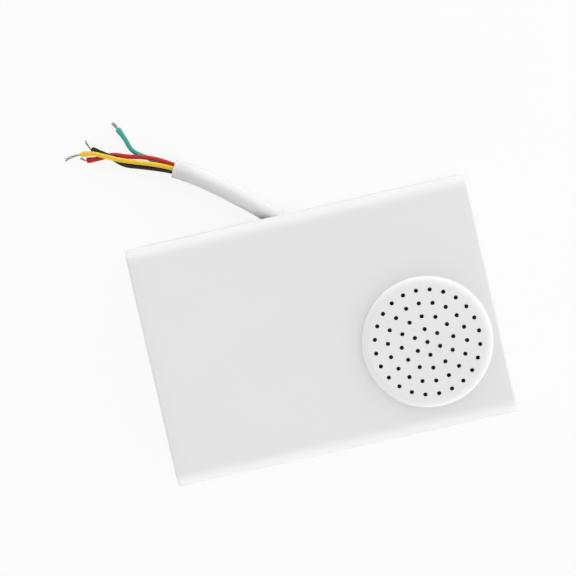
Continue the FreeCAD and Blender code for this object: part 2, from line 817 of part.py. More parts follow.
def make_header(name, middle_y, ways):
    """A wire header at the board's right edge with one round entry for each wire."""
    header = new_body(name)
    half = header_pitch * ((ways - 1) / 2) + header_margin
    outline = box_outline(board_right - header_length, middle_y - half, board_right, middle_y + half)
    pad(header, "XY", [outline], board_face, board_face + header_height)
    key_left = board_right - header_length
    key = box_outline(key_left, middle_y - half / 2, key_left + header_key_width, middle_y + half / 2)
    pad(header, "XY", [key], board_face + header_height / 2, board_face + header_height + header_key_height)
    radius = core_radius if ways == 4 else speaker_lead_radius
    entries = [
        Circle(y, board_face + header_entry_height, radius + bore_gap) for y in header_entries(middle_y, ways)
    ]
    cut(header, "YZ", entries, board_right - header_entry_depth, board_right + overcut)


# Loudspeaker

def basket_wall(level, skin=0):
    """The radius of the basket's slanted wall at a level."""
    return basket_floor_radius + (level - basket_floor_level) * basket_slope - skin


def make_speaker_basket():
    outline = [
        (speaker_radius, speaker_rim_level),
        (speaker_radius, flange_level),
        (flange_foot_radius, flange_level),
        (basket_floor_radius, basket_floor_level),
        (basket_bore_radius, basket_floor_level),
        (basket_bore_radius, floor_face),
        (spider_seat_radius, floor_face),
        (spider_seat_radius, spider_level),
        (basket_wall(spider_level, 2 * basket_skin), spider_level),
        (basket_wall(speaker_rim_level, 2 * basket_skin), speaker_rim_level),
    ]
    basket = turned("speaker_basket", outline, grille_x, grille_y)
    half = window_width / 2
    slot = box_outline(-half, window_low, half, window_high)
    cut(basket, "XZ", [slot], -speaker_radius - overcut, speaker_radius + overcut)
    cut(basket, "YZ", [slot], -speaker_radius - overcut, speaker_radius + overcut)


def ring_outline(inner, outer, low, high):
    return box_outline(inner, low, outer, high)


def make_speaker_motor():
    plate_bore = coil_radius + winding_wall + winding_gap
    plate = ring_outline(plate_bore, top_plate_radius, magnet_top, basket_floor_level)
    turned("speaker_top_plate", plate, grille_x, grille_y)
    magnet = ring_outline(magnet_bore_radius, magnet_radius, yoke_top, magnet_top)
    turned("speaker_magnet", magnet, grille_x, grille_y)
    yoke = [
        (0, yoke_top - yoke_thickness),
        (yoke_radius, yoke_top - yoke_thickness),
        (yoke_radius, yoke_top),
        (pole_radius, yoke_top),
        (pole_radius, basket_floor_level),
        (0, basket_floor_level),
    ]
    turned("speaker_yoke", yoke, grille_x, grille_y)


def dome_outline(radius, foot, top, steps=5):
    """A quarter of an ellipse in straight steps, from the top on the axis down to the foot."""
    angles = [math.pi / 2 * step / steps for step in range(steps + 1)]
    angles[-1] = math.pi / 2
    points = [(radius * math.sin(angle), foot + (top - foot) * math.cos(angle)) for angle in angles[1:-1]]
    return [(0, top), *points, (radius, foot)]


def make_speaker_moving_parts():
    """The coil on its former, the paper cone and the dust cap, which travel together."""
    gap_middle = basket_floor_level - top_plate_thickness / 2
    winding_low = gap_middle - winding_height / 2
    winding_high = gap_middle + winding_height / 2
    former_top = cone_neck_level + cone_paper / 2
    coil = [
        (former_radius, yoke_top + coil_foot_gap),
        (coil_radius, yoke_top + coil_foot_gap),
        (coil_radius, winding_low),
        (coil_radius + winding_wall, winding_low),
        (coil_radius + winding_wall, winding_high),
        (coil_radius, winding_high),
        (coil_radius, former_top),
        (former_radius, former_top),
    ]
    turned("voice_coil", coil, grille_x, grille_y)
    lip_low = speaker_rim_level - cone_paper
    neck_top = cone_neck_level + cone_paper
    cone = [
        (coil_radius, cone_neck_level),
        (cone_lip_radius, lip_low),
        (cone_radius, lip_low),
        (cone_radius, speaker_rim_level),
        (cone_lip_radius, speaker_rim_level),
        (coil_radius, neck_top),
    ]
    turned("speaker_cone", cone, grille_x, grille_y)
    rise = (speaker_rim_level - neck_top) / (cone_lip_radius - coil_radius)
    foot = neck_top + (dust_cap_radius - coil_radius) * rise
    inner_radius = dust_cap_radius - cone_paper
    inner_foot = foot - cone_paper * rise
    outside = dome_outline(dust_cap_radius, foot, foot + dust_cap_height)
    inside = dome_outline(inner_radius, inner_foot, foot + dust_cap_height - cone_paper)
    turned("dust_cap", outside + inside[::-1], grille_x, grille_y)


def make_surround():
    """A half roll with a flat lip each side, from the cone's edge to the basket's flange."""
    level = speaker_rim_level
    outer = doc.addObject("Part::Torus", "RollOutside")
    bind(outer, "Radius1", roll_circle)
    bind(outer, "Radius2", surround_roll_radius + surround_skin)
    inner = doc.addObject("Part::Torus", "RollInside")
    bind(inner, "Radius1", roll_circle)
    bind(inner, "Radius2", surround_roll_radius)
    for roll in (outer, inner):
        place(roll, grille_x, grille_y, level)
    below = rod(grille_x, grille_y, level - speaker_radius, speaker_radius, speaker_radius)
    roll = take(take(outer, inner), below)
    lip_out_low = roll_circle + surround_roll_radius + surround_skin / 2
    lip_in_high = roll_circle - surround_roll_radius - surround_skin / 2
    lips = []
    lip_in_low = cone_lip_radius + surround_lip_gap
    for low_radius, high_radius in ((lip_out_low, surround_lip_radius), (lip_in_low, lip_in_high)):
        disc = rod(grille_x, grille_y, level, high_radius, surround_skin)
        hole = rod(grille_x, grille_y, level - overcut, low_radius, surround_skin + 2 * overcut)
        lips.append(take(disc, hole))
    node("speaker_surround", fuse([roll, *lips]))


def make_spider():
    """A corrugated cloth ring between the former and its seat on the basket."""
    lip = spider_seat_radius
    waves = (lip - coil_radius) / spider_rings
    lower = [(basket_wall(spider_level, 2 * basket_skin) - spider_gap, spider_level), (lip, spider_level)]
    for ring in range(spider_rings):
        crest = lip - (ring + 0.5) * waves
        valley = lip - (ring + 1) * waves
        lower += [(crest, spider_level + spider_wave), (valley, spider_level)]
    upper = [(x, z + spider_cloth) for x, z in reversed(lower)]
    turned("speaker_spider", lower + upper, grille_x, grille_y)


def make_speaker_seat():
    gasket_low = speaker_rim_level + surround_skin
    gasket_inside = roll_foot_radius + gasket_side_gap
    gasket = ring_outline(gasket_inside, surround_lip_radius, gasket_low, ceiling - gasket_gap)
    turned("speaker_gasket", gasket, grille_x, grille_y)
    washers = []
    screws = []
    for x, y in speaker_posts():
        disc = rod(x, y, speaker_rim_level, washer_radius, washer_thickness)
        bore_height = washer_thickness + 2 * overcut
        hole = rod(x, y, speaker_rim_level - overcut, screw_radius + bore_gap, bore_height)
        washers.append(take(disc, hole))
        length = speaker_screw_length + washer_thickness
        screws.append(screw(x, y, speaker_rim_level + washer_thickness, length))
    group("speaker_washers", washers)
    group("speaker_screws", screws)
    left = grille_x - flange_foot_radius - terminal_inset - terminal_width
    middle_y = grille_y - terminal_drop
    low = flange_level - terminal_thickness
    near = middle_y - terminal_length / 2
    strip = block(left, near, low, terminal_width, terminal_length, terminal_thickness)
    lugs = []
    for side in (-1, 1):
        lug_x = left + (terminal_width - lug_thickness) / 2
        lug_y = middle_y + (side * terminal_pitch - lug_width) / 2
        lug_height = terminal_lug + terminal_thickness / 2
        lugs.append(block(lug_x, lug_y, low - terminal_lug, lug_thickness, lug_width, lug_height))
    node("speaker_terminals", fuse([strip, *lugs]))


# Grommet and clamp

def make_grommet():
    """A rubber grommet that lies along X in the bay's right wall, with its groove on the wall."""
    bore = cable_radius + bore_gap
    outline = [
        (bore, -grommet_flange),
        (grommet_flange_radius - grommet_taper, -grommet_flange),
        (grommet_flange_radius, -bore_gap),
        (grommet_radius, -bore_gap),
        (grommet_radius, bay_wall + bore_gap),
        (grommet_flange_radius, bay_wall + bore_gap),
        (grommet_flange_radius - grommet_taper, bay_wall + grommet_flange),
        (bore, bay_wall + grommet_flange),
    ]
    grommet = doc.addObject("PartDesign::Body", "cable_grommet")
    turn(grommet, outline)
    place(grommet, bay_right, cable_row, cable_level, ALONG_X)
    node("cable_grommet", grommet)


def make_clamp():
    clamp = new_body("cable_clamp")
    half = clamp_screw_offset + post_radius
    low = cable_level + clamp_split / 2
    high = cable_level + cable_radius + clamp_top
    clamp_right = clamp_left + clamp_length
    outline = box_outline(clamp_left, cable_row - half, clamp_right, cable_row + half)
    pad(clamp, "XY", [outline], low, high)
    cable = Circle(cable_row, cable_level, cable_radius + bore_gap)
    cut(clamp, "YZ", [cable], clamp_left - overcut, clamp_right + overcut)
    middle_x = clamp_left + clamp_length / 2
    places = [(middle_x, cable_row + side * clamp_screw_offset) for side in (-1, 1)]
    holes = [Circle(x, y, screw_radius + hole_gap) for x, y in places]
    cut(clamp, "XY", holes, low - overcut, high + overcut)
    length = high - plate_thickness
    group("clamp_screws", [screw(x, y, high, length) for x, y in places])


# Cable, cores and conductors

def rounded_route(points):
    """Straight runs joined by tangent arcs, each as large as its two runs allow."""
    points = [Vector(*point) for point in points]
    edges = []
    radii = []
    start = points[0]
    for before, here, after in zip(points, points[1:], points[2:]):
        back = before - here
        ahead = after - here
        half_turn = (math.pi - back.getAngle(ahead)) / 2
        reach = 0.45 * min(back.Length, ahead.Length)
        radius = reach / math.tan(half_turn)
        back.normalize()
        ahead.normalize()
        middle_way = back + ahead
        middle_way.normalize()
        arc_start = here + back * reach
        arc_end = here + ahead * reach
        arc_middle = here + middle_way * (radius / math.cos(half_turn) - radius)
        edges.append(Part.LineSegment(start, arc_start).toShape())
        edges.append(Part.Arc(arc_start, arc_middle, arc_end).toShape())
        radii.append(radius)
        start = arc_end
    edges.append(Part.LineSegment(start, points[-1]).toShape())
    return Part.Wire(edges), radii


def tube(name, points, radius):
    """A round tube along a route, checked by its volume."""
    radius = as_size(radius).value
    route, radii = rounded_route(points)
    first = Vector(*points[0])
    way = Vector(*points[1]) - first
    section = Part.Wire([Part.makeCircle(radius, first, way)])
    shape = route.makePipeShell([section], True, False)
    share = shape.Volume / (math.pi * radius * radius * route.Length)
    tightest = min(radii, default=math.inf)
    print(f"{name}: length {route.Length:.1f}, volume share {share:.4f}, tightest radius {tightest:.1f}")
    print(f"    radii {[round(value, 1) for value in radii]}, diameters {tightest / radius / 2:.1f}")
    if abs(share - 1) > 0.01:
        raise ValueError(f"the tube of {name} has the wrong volume")
    return shape


def keep_shape(name, shape):
    made = doc.addObject("Part::Feature", name)
    made.Shape = shape
    return node(name, made)


jacket_route = [
    (30.0, cable_row.value, cable_level.value),
    (5.0, cable_row.value, cable_level.value),
    (-15.0, 48.6, 3.32),
    (-25.3, 57.3, 3.32),
    (-32.9, 62.95, 3.32),
    (-38.8, 66.35, 3.32),
]
jacket_end = Vector(*jacket_route[-1])
jacket_way = (jacket_end - Vector(*jacket_route[-2])).normalize()
strip_bottom = jacket_end - jacket_way * strip_depth.value
across = Vector(jacket_way.y, -jacket_way.x, 0)
lay_offset = math.sqrt(2) * core_radius.value


def core_start(side, up):
    """The first two points of a core: at the bottom of the stripped bore and at the jacket's mouth."""
    offset = (across * side + Vector(0, 0, up)) * lay_offset
    return [tuple(strip_bottom + offset), tuple(jacket_end + offset)]


core_routes = {
    "yellow": [
        *core_start(0, 1),
        (-44.5, 69.0, 4.8),
        (-50.3, 71.1, 4.9),
        (-56.2, 73.2, 5.15),
        (-61.6, 75.9, 5.2),
        (-66.6, 78.4, 3.4),
        (-70.3, 78.5, 1.7),
    ],
    "red": [
        *core_start(1, 0),
        (-43.0, 70.4, 3.35),
        (-48.4, 72.7, 3.15),
        (-54.0, 74.0, 1.9),
        (-59.6, 76.3, 0.81),
        (-64.3, 75.5, 0.81),
        (-68.6, 76.1, 0.81),
    ],
    "black": [
        *core_start(-1, 0),
        (-45.2, 67.7, 1.9),
        (-50.9, 69.7, 1.1),
        (-56.4, 71.5, 0.81),
        (-60.4, 76.2, 3.7),
        (-65.9, 79.4, 1.1),
    ],
    "green": [
        *core_start(0, -1),
        (-43.6, 69.3, 1.0),
        (-47.8, 72.6, 0.81),
        (-51.0, 74.6, 0.81),
        (-52.7, 76.9, 0.81),
        (-53.5, 80.4, 0.81),
        (-55.4, 84.5, 0.81),
    ],
}


def conductor_start(colour, run):
    """The first two points of a conductor, which leaves its core straight."""
    before, end = (Vector(*point) for point in core_routes[colour][-2:])
    way = (end - before).normalize()
    return [tuple(end), tuple(end + way * run)]


conductor_routes = {
    "yellow": [
        *conductor_start("yellow", 1.3),
        (-73.2, 78.45, 0.5),
        (-74.8, 78.0, 0.45),
        (-76.1, 78.0, 0.42),
    ],
    "red": [*conductor_start("red", 0.6), (-70.1, 76.9, 0.7), (-70.8, 77.5, 0.45)],
    "black": [
        *conductor_start("black", 0.5),
        (-66.8, 80.5, 0.75),
        (-67.1, 81.5, 0.5),
        (-67.6, 82.4, 0.45),
        (-67.3, 83.3, 0.45),
    ],
    "green": [*conductor_start("green", 1.0), (-56.7, 87.0, 0.7)],
}

InnerLane = namedtuple("InnerLane", "side up x y corner")
inner_lanes = {
    "yellow": InnerLane(side=1, up=1, x=47.0, y=8.0, corner=6.9),
    "red": InnerLane(side=1, up=-1, x=44.5, y=10.5, corner=6.15),
    "black": InnerLane(side=-1, up=-1, x=42.0, y=13.0, corner=4.8),
    "green": InnerLane(side=-1, up=1, x=39.5, y=15.5, corner=4.1),
}
inner_level = 9.0


def inner_core_route(lane, entry_y):
    """From the jacket's inner end, round the core's own lane and into the header's entry."""
    side, up, lane_x, lane_y, corner = lane
    start_x, row, level = jacket_route[0]
    start_y = row + side
    start_z = level + up
    entry_z = (board_face + header_entry_height).value
    entry_x = (board_right - header_entry_depth).value
    slant_x = 34.0 - lane_y
    return [
        (start_x, start_y, start_z),
        (lane_x - corner, start_y, start_z),
        (lane_x, start_y - corner, start_z + 1.0),
        (lane_x, lane_y + corner, inner_level + 0.2),
        (lane_x - corner, lane_y, inner_level + 0.5),
        (slant_x, lane_y, entry_z - 0.5),
        (board_right.value + 5.5 - 0.3 * entry_y, entry_y, entry_z),
        (entry_x, entry_y, entry_z),
    ]


def make_cable():
    jacket = tube("cable_jacket", jacket_route, cable_radius)
    bore_radius = cable_radius.value - jacket_wall.value
    bore = Part.makeCylinder(bore_radius, strip_depth.value + overcut, strip_bottom, jacket_way)
    keep_shape("cable_jacket", jacket.cut(bore))
    for colour, points in core_routes.items():
        name = f"core_{colour}"
        keep_shape(name, tube(name, points, core_radius))
    for colour, points in conductor_routes.items():
        name = f"conductor_{colour}"
        radius = tinned_radius if colour == "green" else conductor_radius
        keep_shape(name, tube(name, points, radius))
    entries = [entry.value for entry in header_entries(cable_header_y, 4)]
    for entry_y, (colour, lane) in zip(entries, inner_lanes.items()):
        name = f"inner_core_{colour}"
        keep_shape(name, tube(name, inner_core_route(lane, entry_y), core_radius))


def make_speaker_leads():
    """Two short wires from the lugs under the basket's flange to the two-way header."""
    lug_x = (grille_x - flange_foot_radius - terminal_inset - terminal_width / 2).value
    lug_z = (flange_level - terminal_thickness - terminal_lug).value
    middle_y = (grille_y - terminal_drop).value
    entry_x = (board_right - header_entry_depth).value
    entry_z = (board_face + header_entry_height).value
    entries = [entry.value for entry in header_entries(speaker_header_y, 2)]
    for side, entry_y, colour in zip((-1, 1), entries, ("black", "red")):
        lug_y = middle_y + side * terminal_pitch.value / 2
        points = [
            (lug_x, lug_y, lug_z),
            (lug_x, lug_y, lug_z - 3.6),
            (lug_x - 2.4, (lug_y + entry_y) / 2, entry_z + 0.6),
            (entry_x + 2.2, entry_y, entry_z),
            (entry_x, entry_y, entry_z),
        ]
        name = f"speaker_lead_{colour}"
        keep_shape(name, tube(name, points, speaker_lead_radius))


make_front_cover()
make_speaker_grille()
make_back_plate()
make_cover_screws()
make_circuit_board()
make_chip("melody_chip", *melody_chip_spot)
make_chip("amplifier_chip", *amplifier_chip_spot)
make_capacitors()
make_small_parts()
make_header("cable_header", cable_header_y, 4)
make_header("speaker_header", speaker_header_y, 2)
make_speaker_basket()
make_speaker_motor()
make_speaker_moving_parts()
make_surround()
make_spider()
make_speaker_seat()
make_grommet()
make_clamp()
make_cable()
make_speaker_leads()
doc.recompute()

for thing in doc.Objects:
    if "Invalid" in thing.State or "Error" in thing.State:
        raise ValueError(f"{thing.Label} failed: {thing.State}")
os.makedirs("parts", exist_ok=True)
for name, thing in nodes.items():
    if thing.Shape.isNull() or not thing.Shape.isValid():
        raise ValueError(f"{name} has no valid shape")
    thing.Shape.exportStep(f"parts/{name}.step")
print(f"{len(nodes)} nodes")
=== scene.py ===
# %% [markdown]
# # A wired door chime
# A white box of moulded plastic lies on its back. It has a round perforated cap over its loudspeaker
# and a round cable that ends in four stripped cores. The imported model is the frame: it gives every
# piece its place in metres, and the looks are added here without moving or resizing anything.

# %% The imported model
import json
import math
from contextlib import contextmanager

import bmesh
import bpy
import numpy as np
from mathutils import Matrix

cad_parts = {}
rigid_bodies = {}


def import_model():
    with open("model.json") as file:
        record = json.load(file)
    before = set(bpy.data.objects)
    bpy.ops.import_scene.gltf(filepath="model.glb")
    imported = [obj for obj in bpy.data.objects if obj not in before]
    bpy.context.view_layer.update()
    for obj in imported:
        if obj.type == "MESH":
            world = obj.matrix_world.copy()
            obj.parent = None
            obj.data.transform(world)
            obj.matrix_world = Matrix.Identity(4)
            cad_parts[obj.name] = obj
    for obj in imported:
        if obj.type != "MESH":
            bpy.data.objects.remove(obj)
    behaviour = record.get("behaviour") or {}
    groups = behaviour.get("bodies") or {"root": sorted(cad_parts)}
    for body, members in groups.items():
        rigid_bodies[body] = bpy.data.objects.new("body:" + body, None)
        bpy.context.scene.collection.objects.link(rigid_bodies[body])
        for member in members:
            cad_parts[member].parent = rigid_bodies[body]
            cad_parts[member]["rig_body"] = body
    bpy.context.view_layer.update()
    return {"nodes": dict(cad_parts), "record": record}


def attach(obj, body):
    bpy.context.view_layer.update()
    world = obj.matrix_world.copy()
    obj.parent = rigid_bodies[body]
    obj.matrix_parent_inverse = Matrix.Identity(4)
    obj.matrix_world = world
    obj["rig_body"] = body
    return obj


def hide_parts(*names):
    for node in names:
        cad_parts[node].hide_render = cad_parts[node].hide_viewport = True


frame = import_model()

MM = 0.001
scene = bpy.context.scene
nodes = frame["nodes"]
print(f"{len(nodes)} pieces in the frame")


def placed(name, data):
    """A new object in the scene with this data."""
    made = bpy.data.objects.new(name, data)
    scene.collection.objects.link(made)
    return made

# %% [markdown]
# ## The camera
# The photograph was taken from almost straight above with a long lens. The box's four edges vanish
# towards two points, and those fix the lens, the place and the turn of the camera.

# %% Camera
camera_data = bpy.data.cameras.new("photo_camera")
camera_data.sensor_fit = "HORIZONTAL"
camera_data.sensor_width = 36.0
camera_data.lens = 145.84
camera = placed("photo_camera", camera_data)
right = (0.974178, -0.222732, -0.036973)
up = (0.221033, 0.974226, -0.045041)
back = (0.046052, 0.035706, 0.998301)
place = (0.02906, 0.04565, 0.82644)
camera.matrix_world = Matrix([*zip(right, up, back, place), (0, 0, 0, 1)])
scene.camera = camera
print("camera height", round(place[2], 3))

# %% [markdown]
# ## Surfaces from arrays
# Every new surface here is a grid of points that a formula gives. A grid of rows and columns becomes
# four-sided faces by index arithmetic, so no loop runs over the points, and coinciding points are
# merged afterwards, which closes seams and poles.

# %% From points to a piece
def grid_quads(rows, columns, wrap=False, start=0):
    """Faces of a grid whose point (row, column) has the index start + row * columns + column."""
    last = columns if wrap else columns - 1
    row, column = np.meshgrid(np.arange(rows - 1), np.arange(last), indexing="ij")
    after = (column + 1) % columns
    corners = [row * columns + column, row * columns + after]
    corners += [(row + 1) * columns + after, (row + 1) * columns + column]
    return np.stack(corners, axis=-1).reshape(-1, 4) + start


@contextmanager
def edited(mesh):
    """The mesh opened for editing, and written back afterwards."""
    opened = bmesh.new()
    opened.from_mesh(mesh)
    yield opened
    opened.to_mesh(mesh)
    opened.free()


def smooth(piece, degrees):
    """Soft shading with crisp edges where two faces meet at more than the angle."""
    mesh = piece.data
    mesh.polygons.foreach_set("use_smooth", np.ones(len(mesh.polygons), dtype=bool))
    mesh.set_sharp_from_angle(angle=math.radians(degrees))


def new_piece(name, surface, degrees, merge=1e-7):
    """A closed piece from points in millimetres and four-sided faces, which come to look outwards."""
    points, quads = surface
    mesh = bpy.data.meshes.new(name)
    mesh.vertices.add(len(points))
    mesh.vertices.foreach_set("co", (points * MM).ravel())
    mesh.loops.add(quads.size)
    mesh.loops.foreach_set("vertex_index", quads.ravel().astype(np.int32))
    mesh.polygons.add(len(quads))
    mesh.polygons.foreach_set("loop_start", np.arange(0, quads.size, 4, dtype=np.int32))
    mesh.update(calc_edges=True)
    with edited(mesh) as opened:
        bmesh.ops.remove_doubles(opened, verts=opened.verts, dist=merge)
        bmesh.ops.dissolve_degenerate(opened, edges=opened.edges, dist=merge)
        bmesh.ops.recalc_face_normals(opened, faces=opened.faces)
    piece = placed(name, mesh)
    smooth(piece, degrees)
    return piece


def bevelled(piece, width, degrees):
    """A fine rounding, in millimetres, on the edges that are sharper than the angle."""
    edges = piece.modifiers.new("edges", "BEVEL")
    edges.width = width * MM
    edges.segments = 2
    edges.limit_method = "ANGLE"
    edges.angle_limit = math.radians(degrees)


def settle(piece, body, slot, finish, *replaced):
    """Gives a finished piece its material and its body, and hides the nodes that it stands for. The slot is
    not used.
    """
    piece.data.materials.clear()
    piece.data.materials.append(finish)
    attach(piece, body)
    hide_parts(*replaced)
    print(piece.name, len(piece.data.polygons), "faces")

# %% [markdown]
# ## Finishes
# A finish is a small node tree on Object coordinates, so a pattern sits still on its piece. The helpers
# fill a node by name, make a shader, and give it noise, blended colours and a fine grain in relief, as
# dust, handling and moulding do.

# %% Helpers for finishes
def connect(value, socket):
    """Links another node's output to an input, or sets the input to a number."""
    if isinstance(value, bpy.types.NodeSocket):
        socket.id_data.links.new(value, socket)
    else:
        socket.default_value = value


def fill(node, **settings):
    """Sets a node's inputs and its other properties by name."""
    for name, value in settings.items():
        socket = node.inputs.get(name.replace("_", " "))
        if socket is None:
            setattr(node, name, value)
        else:
            connect(value, socket)
    return node


def node_of(tree, kind, **settings):
    return fill(tree.nodes.new(kind), **settings)


def shader_of(name, colour, roughness, metallic=0.0, **sockets):
    finish = bpy.data.materials.new(name)
    finish.use_nodes = True
    tree = finish.node_tree
    shader = tree.nodes["Principled BSDF"]
    fill(shader, Base_Color=(*colour, 1), Roughness=roughness, Metallic=metallic, **sockets)
    return finish, tree, shader


def coordinates(tree, attribute=None):
    """Object coordinates in metres, or the piece's own attribute."""
    if attribute:
        return node_of(tree, "ShaderNodeAttribute", attribute_name=attribute).outputs["Vector"]
    return node_of(tree, "ShaderNodeTexCoord").outputs["Object"]


def noise_of(tree, scale, detail=2.0, stretch=None, attribute=None):
    vector = coordinates(tree, attribute)
    if stretch:
        vector = node_of(tree, "ShaderNodeMapping", Scale=stretch, Vector=vector).outputs["Vector"]
    return node_of(tree, "ShaderNodeTexNoise", Scale=scale, Detail=detail, Vector=vector).outputs["Fac"]


def mapped(value, low=0.0, high=1.0):
    """A noise's usual values, which lie between 0.3 and 0.7, stretched to low and high."""
    change = node_of(value.id_data, "ShaderNodeMapRange", From_Min=0.3, From_Max=0.7, To_Min=low, To_Max=high)
    return fill(change, Value=value).outputs["Result"]


def mixed(share, first, second):
    """A colour between two colours, each given as numbers or as another node's output."""
    mix = node_of(share.id_data, "ShaderNodeMix", data_type="RGBA", Factor=share)
    for index, colour in ((6, first), (7, second)):
        connect((*colour, 1) if isinstance(colour, tuple) else colour, mix.inputs[index])
    return mix.outputs[2]


def darker(colour, share):
    return tuple(share * part for part in colour)


def relief(shader, height, strength, depth):
    """Bumps of this depth, in millimetres."""
    bump = node_of(shader.id_data, "ShaderNodeBump", Strength=strength, Distance=depth * MM, Height=height)
    fill(shader, Normal=bump.outputs["Normal"])

# %% [markdown]
# ### White moulded plastic
# The box is white ABS with a faint spark-eroded grain. Its colour drifts by a percent over a few
# centimetres, and the gloss varies where hands have polished it.

# %% White plastic
def moulded_white(name, colour, roughness=0.42, grain=0.10):
    finish, tree, shader = shader_of(name, colour, roughness, IOR=1.5, Specular_IOR_Level=0.4)
    drift = mapped(noise_of(tree, 22.0, 3.0))
    polish = mapped(noise_of(tree, 60.0, 4.0), roughness - 0.05, roughness + 0.06)
    fill(shader, Base_Color=mixed(drift, colour, darker(colour, 0.975)), Roughness=polish)
    relief(shader, noise_of(tree, 2600.0), grain, 0.03)
    return finish


shell_white = moulded_white("shell_white", (0.79, 0.79, 0.79))
grille_white = moulded_white("grille_white", (0.81, 0.81, 0.81), 0.38, 0.08)
plate_white = moulded_white("plate_white", (0.74, 0.74, 0.73), 0.5, 0.16)
print("white plastics ready")

# %% [markdown]
# ## The front cover
# The cover is a deep tray: a channel with two well-rounded long edges, closed at both ends by flat
# walls with a small rounding. One function gives the skin of such a tray for any size, so the outside
# and the inside are two calls with the same grid, and a ring of faces joins them at every open edge.

# %% The profile across the box
grille_centre = np.array([34.7, -11.4])
patch_half = 22.4
side_levels = np.array([0.4, 1.6, 5.0, 9.4, 13.0, 17.0])
arc_steps = 12
notch_x = (-15.5, 2.0)
notch_top = 9.4
extra_line_x = 7.0


def patch_lines(middle, count=16):
    return middle + patch_half * np.linspace(-1, 1, count + 1)


def cross_lines(straight):
    """Places of the lines that run along the flat front, from edge to edge of its flat part."""
    inside = patch_lines(grille_centre[1])
    return np.concatenate([[-straight], inside, np.linspace(inside[-1], straight, 7)[1:]])


def profile(half_y, top, radius, inset):
    """Across the box: up one side, round a quarter circle, over the front and down again.

    A point of the arc at the angle a is (half_y - radius + r sin a, top - radius + r cos a), with
    r the radius less the inset, and every point moves inwards by the inset.
    """
    straight = half_y - radius
    levels = np.append(side_levels[side_levels < top - radius], top - radius)
    angle = np.linspace(math.pi / 2, 0, arc_steps + 1)[1:]
    reach = radius - inset
    arc_y = straight + reach * np.sin(angle)
    arc_z = top - radius + reach * np.cos(angle)
    up_y = np.concatenate([np.full(len(levels), half_y - inset), arc_y])
    up_z = np.concatenate([levels, arc_z])
    across = cross_lines(straight)[1:-1]
    y = np.concatenate([-up_y, across, up_y[::-1]])
    z = np.concatenate([up_z, np.full(len(across), top - inset), up_z[::-1]])
    return y, z, len(up_y)

# %% The skin of a tray
def lengthwise_lines(half_x, end_radius):
    """Places and insets along the box: an end's quarter round, the long part, the other end."""
    angle = np.linspace(math.pi / 2, 0, 6)
    end_x = half_x - end_radius + end_radius * np.sin(angle)
    end_inset = end_radius * (1 - np.cos(angle))
    left = np.linspace(-end_x[-1], notch_x[0], 9)
    inside = patch_lines(grille_centre[0])
    middle = np.concatenate([left[:-1], np.linspace(*notch_x, 5), [extra_line_x], inside, [end_x[-1]]])
    x = np.concatenate([-end_x[:-1], middle, end_x[:-1][::-1]])
    inset = np.concatenate([end_inset[:-1], np.zeros(len(middle)), end_inset[:-1][::-1]])
    return x, inset


def tray_skin(half_x, half_y, top, radius, end_radius):
    """Points and faces of an open tray, with the cap's opening and the cable's notch left out."""
    x, inset = lengthwise_lines(half_x, end_radius)
    outlines = [profile(half_y, top, radius, float(value)) for value in inset]
    rising = outlines[0][2]
    rows = np.stack([np.column_stack([np.full(len(y), at), y, z]) for at, (y, z, _) in zip(x, outlines)])
    count, around = rows.shape[:2]
    points = [rows.reshape(-1, 3)]
    quads = grid_quads(count, around)
    middle = rows.reshape(-1, 3)[quads].mean(axis=1)
    in_patch = np.all(np.abs(middle[:, :2] - grille_centre) < patch_half, axis=1) & (middle[:, 2] > top - 0.1)
    in_notch = (middle[:, 0] > notch_x[0]) & (middle[:, 0] < notch_x[1])
    in_notch &= (middle[:, 1] > half_y - 0.1) & (middle[:, 2] < notch_top)
    faces = [quads[~in_patch & ~in_notch]]
    total = count * around
    share = cross_lines(half_y - radius) / (half_y - radius)
    for side, outline in ((-1, rows[0]), (1, rows[-1])):
        half_width = -outline[:rising, 1]
        y = half_width[:, None] * share
        z = np.repeat(outline[:rising, 2][:, None], len(share), axis=1)
        end = np.stack([np.full(y.shape, side * half_x), y, z], axis=-1)
        points.append(end.reshape(-1, 3))
        faces.append(grid_quads(rising, len(share), start=total)[:, ::side])
        total += rising * len(share)
    ring, ring_faces = round_opening(top, total)
    return np.concatenate([*points, ring]), np.concatenate([*faces, ring_faces])

# %% [markdown]
# The cap's round opening sits in a square of the flat front. Rays from its middle meet the square at
# the points of the surrounding grid, so the round hole and the straight grid share every point.

# %% The round opening
opening_radius = 20.55


def round_opening(level, start, rings=5):
    """Rings that change from the square's border to the circle: a straight blend along each ray."""
    line = patch_lines(0.0)
    edge = np.full(len(line) - 1, patch_half)
    square = np.concatenate([
        np.column_stack([line[:-1], -edge]),
        np.column_stack([edge, line[:-1]]),
        np.column_stack([line[::-1][:-1], edge]),
        np.column_stack([-edge, line[::-1][:-1]]),
    ])
    circle = opening_radius * square / np.linalg.norm(square, axis=1, keepdims=True)
    share = np.linspace(0, 1, rings)[:, None, None]
    flat = square * (1 - share) + circle * share + grille_centre
    points = np.concatenate([flat, np.full((*flat.shape[:2], 1), level)], axis=-1)
    return points.reshape(-1, 3), grid_quads(rings, len(square), wrap=True, start=start)


def open_edges(quads):
    """The edges that only one face has, in the direction that this face runs them."""
    edges = np.concatenate([quads[:, [0, 1]], quads[:, [1, 2]], quads[:, [2, 3]], quads[:, [3, 0]]])
    pairs = np.sort(edges, axis=1)
    _, which, count = np.unique(pairs, axis=0, return_inverse=True, return_counts=True)
    return edges[count[which.reshape(-1)] == 1]

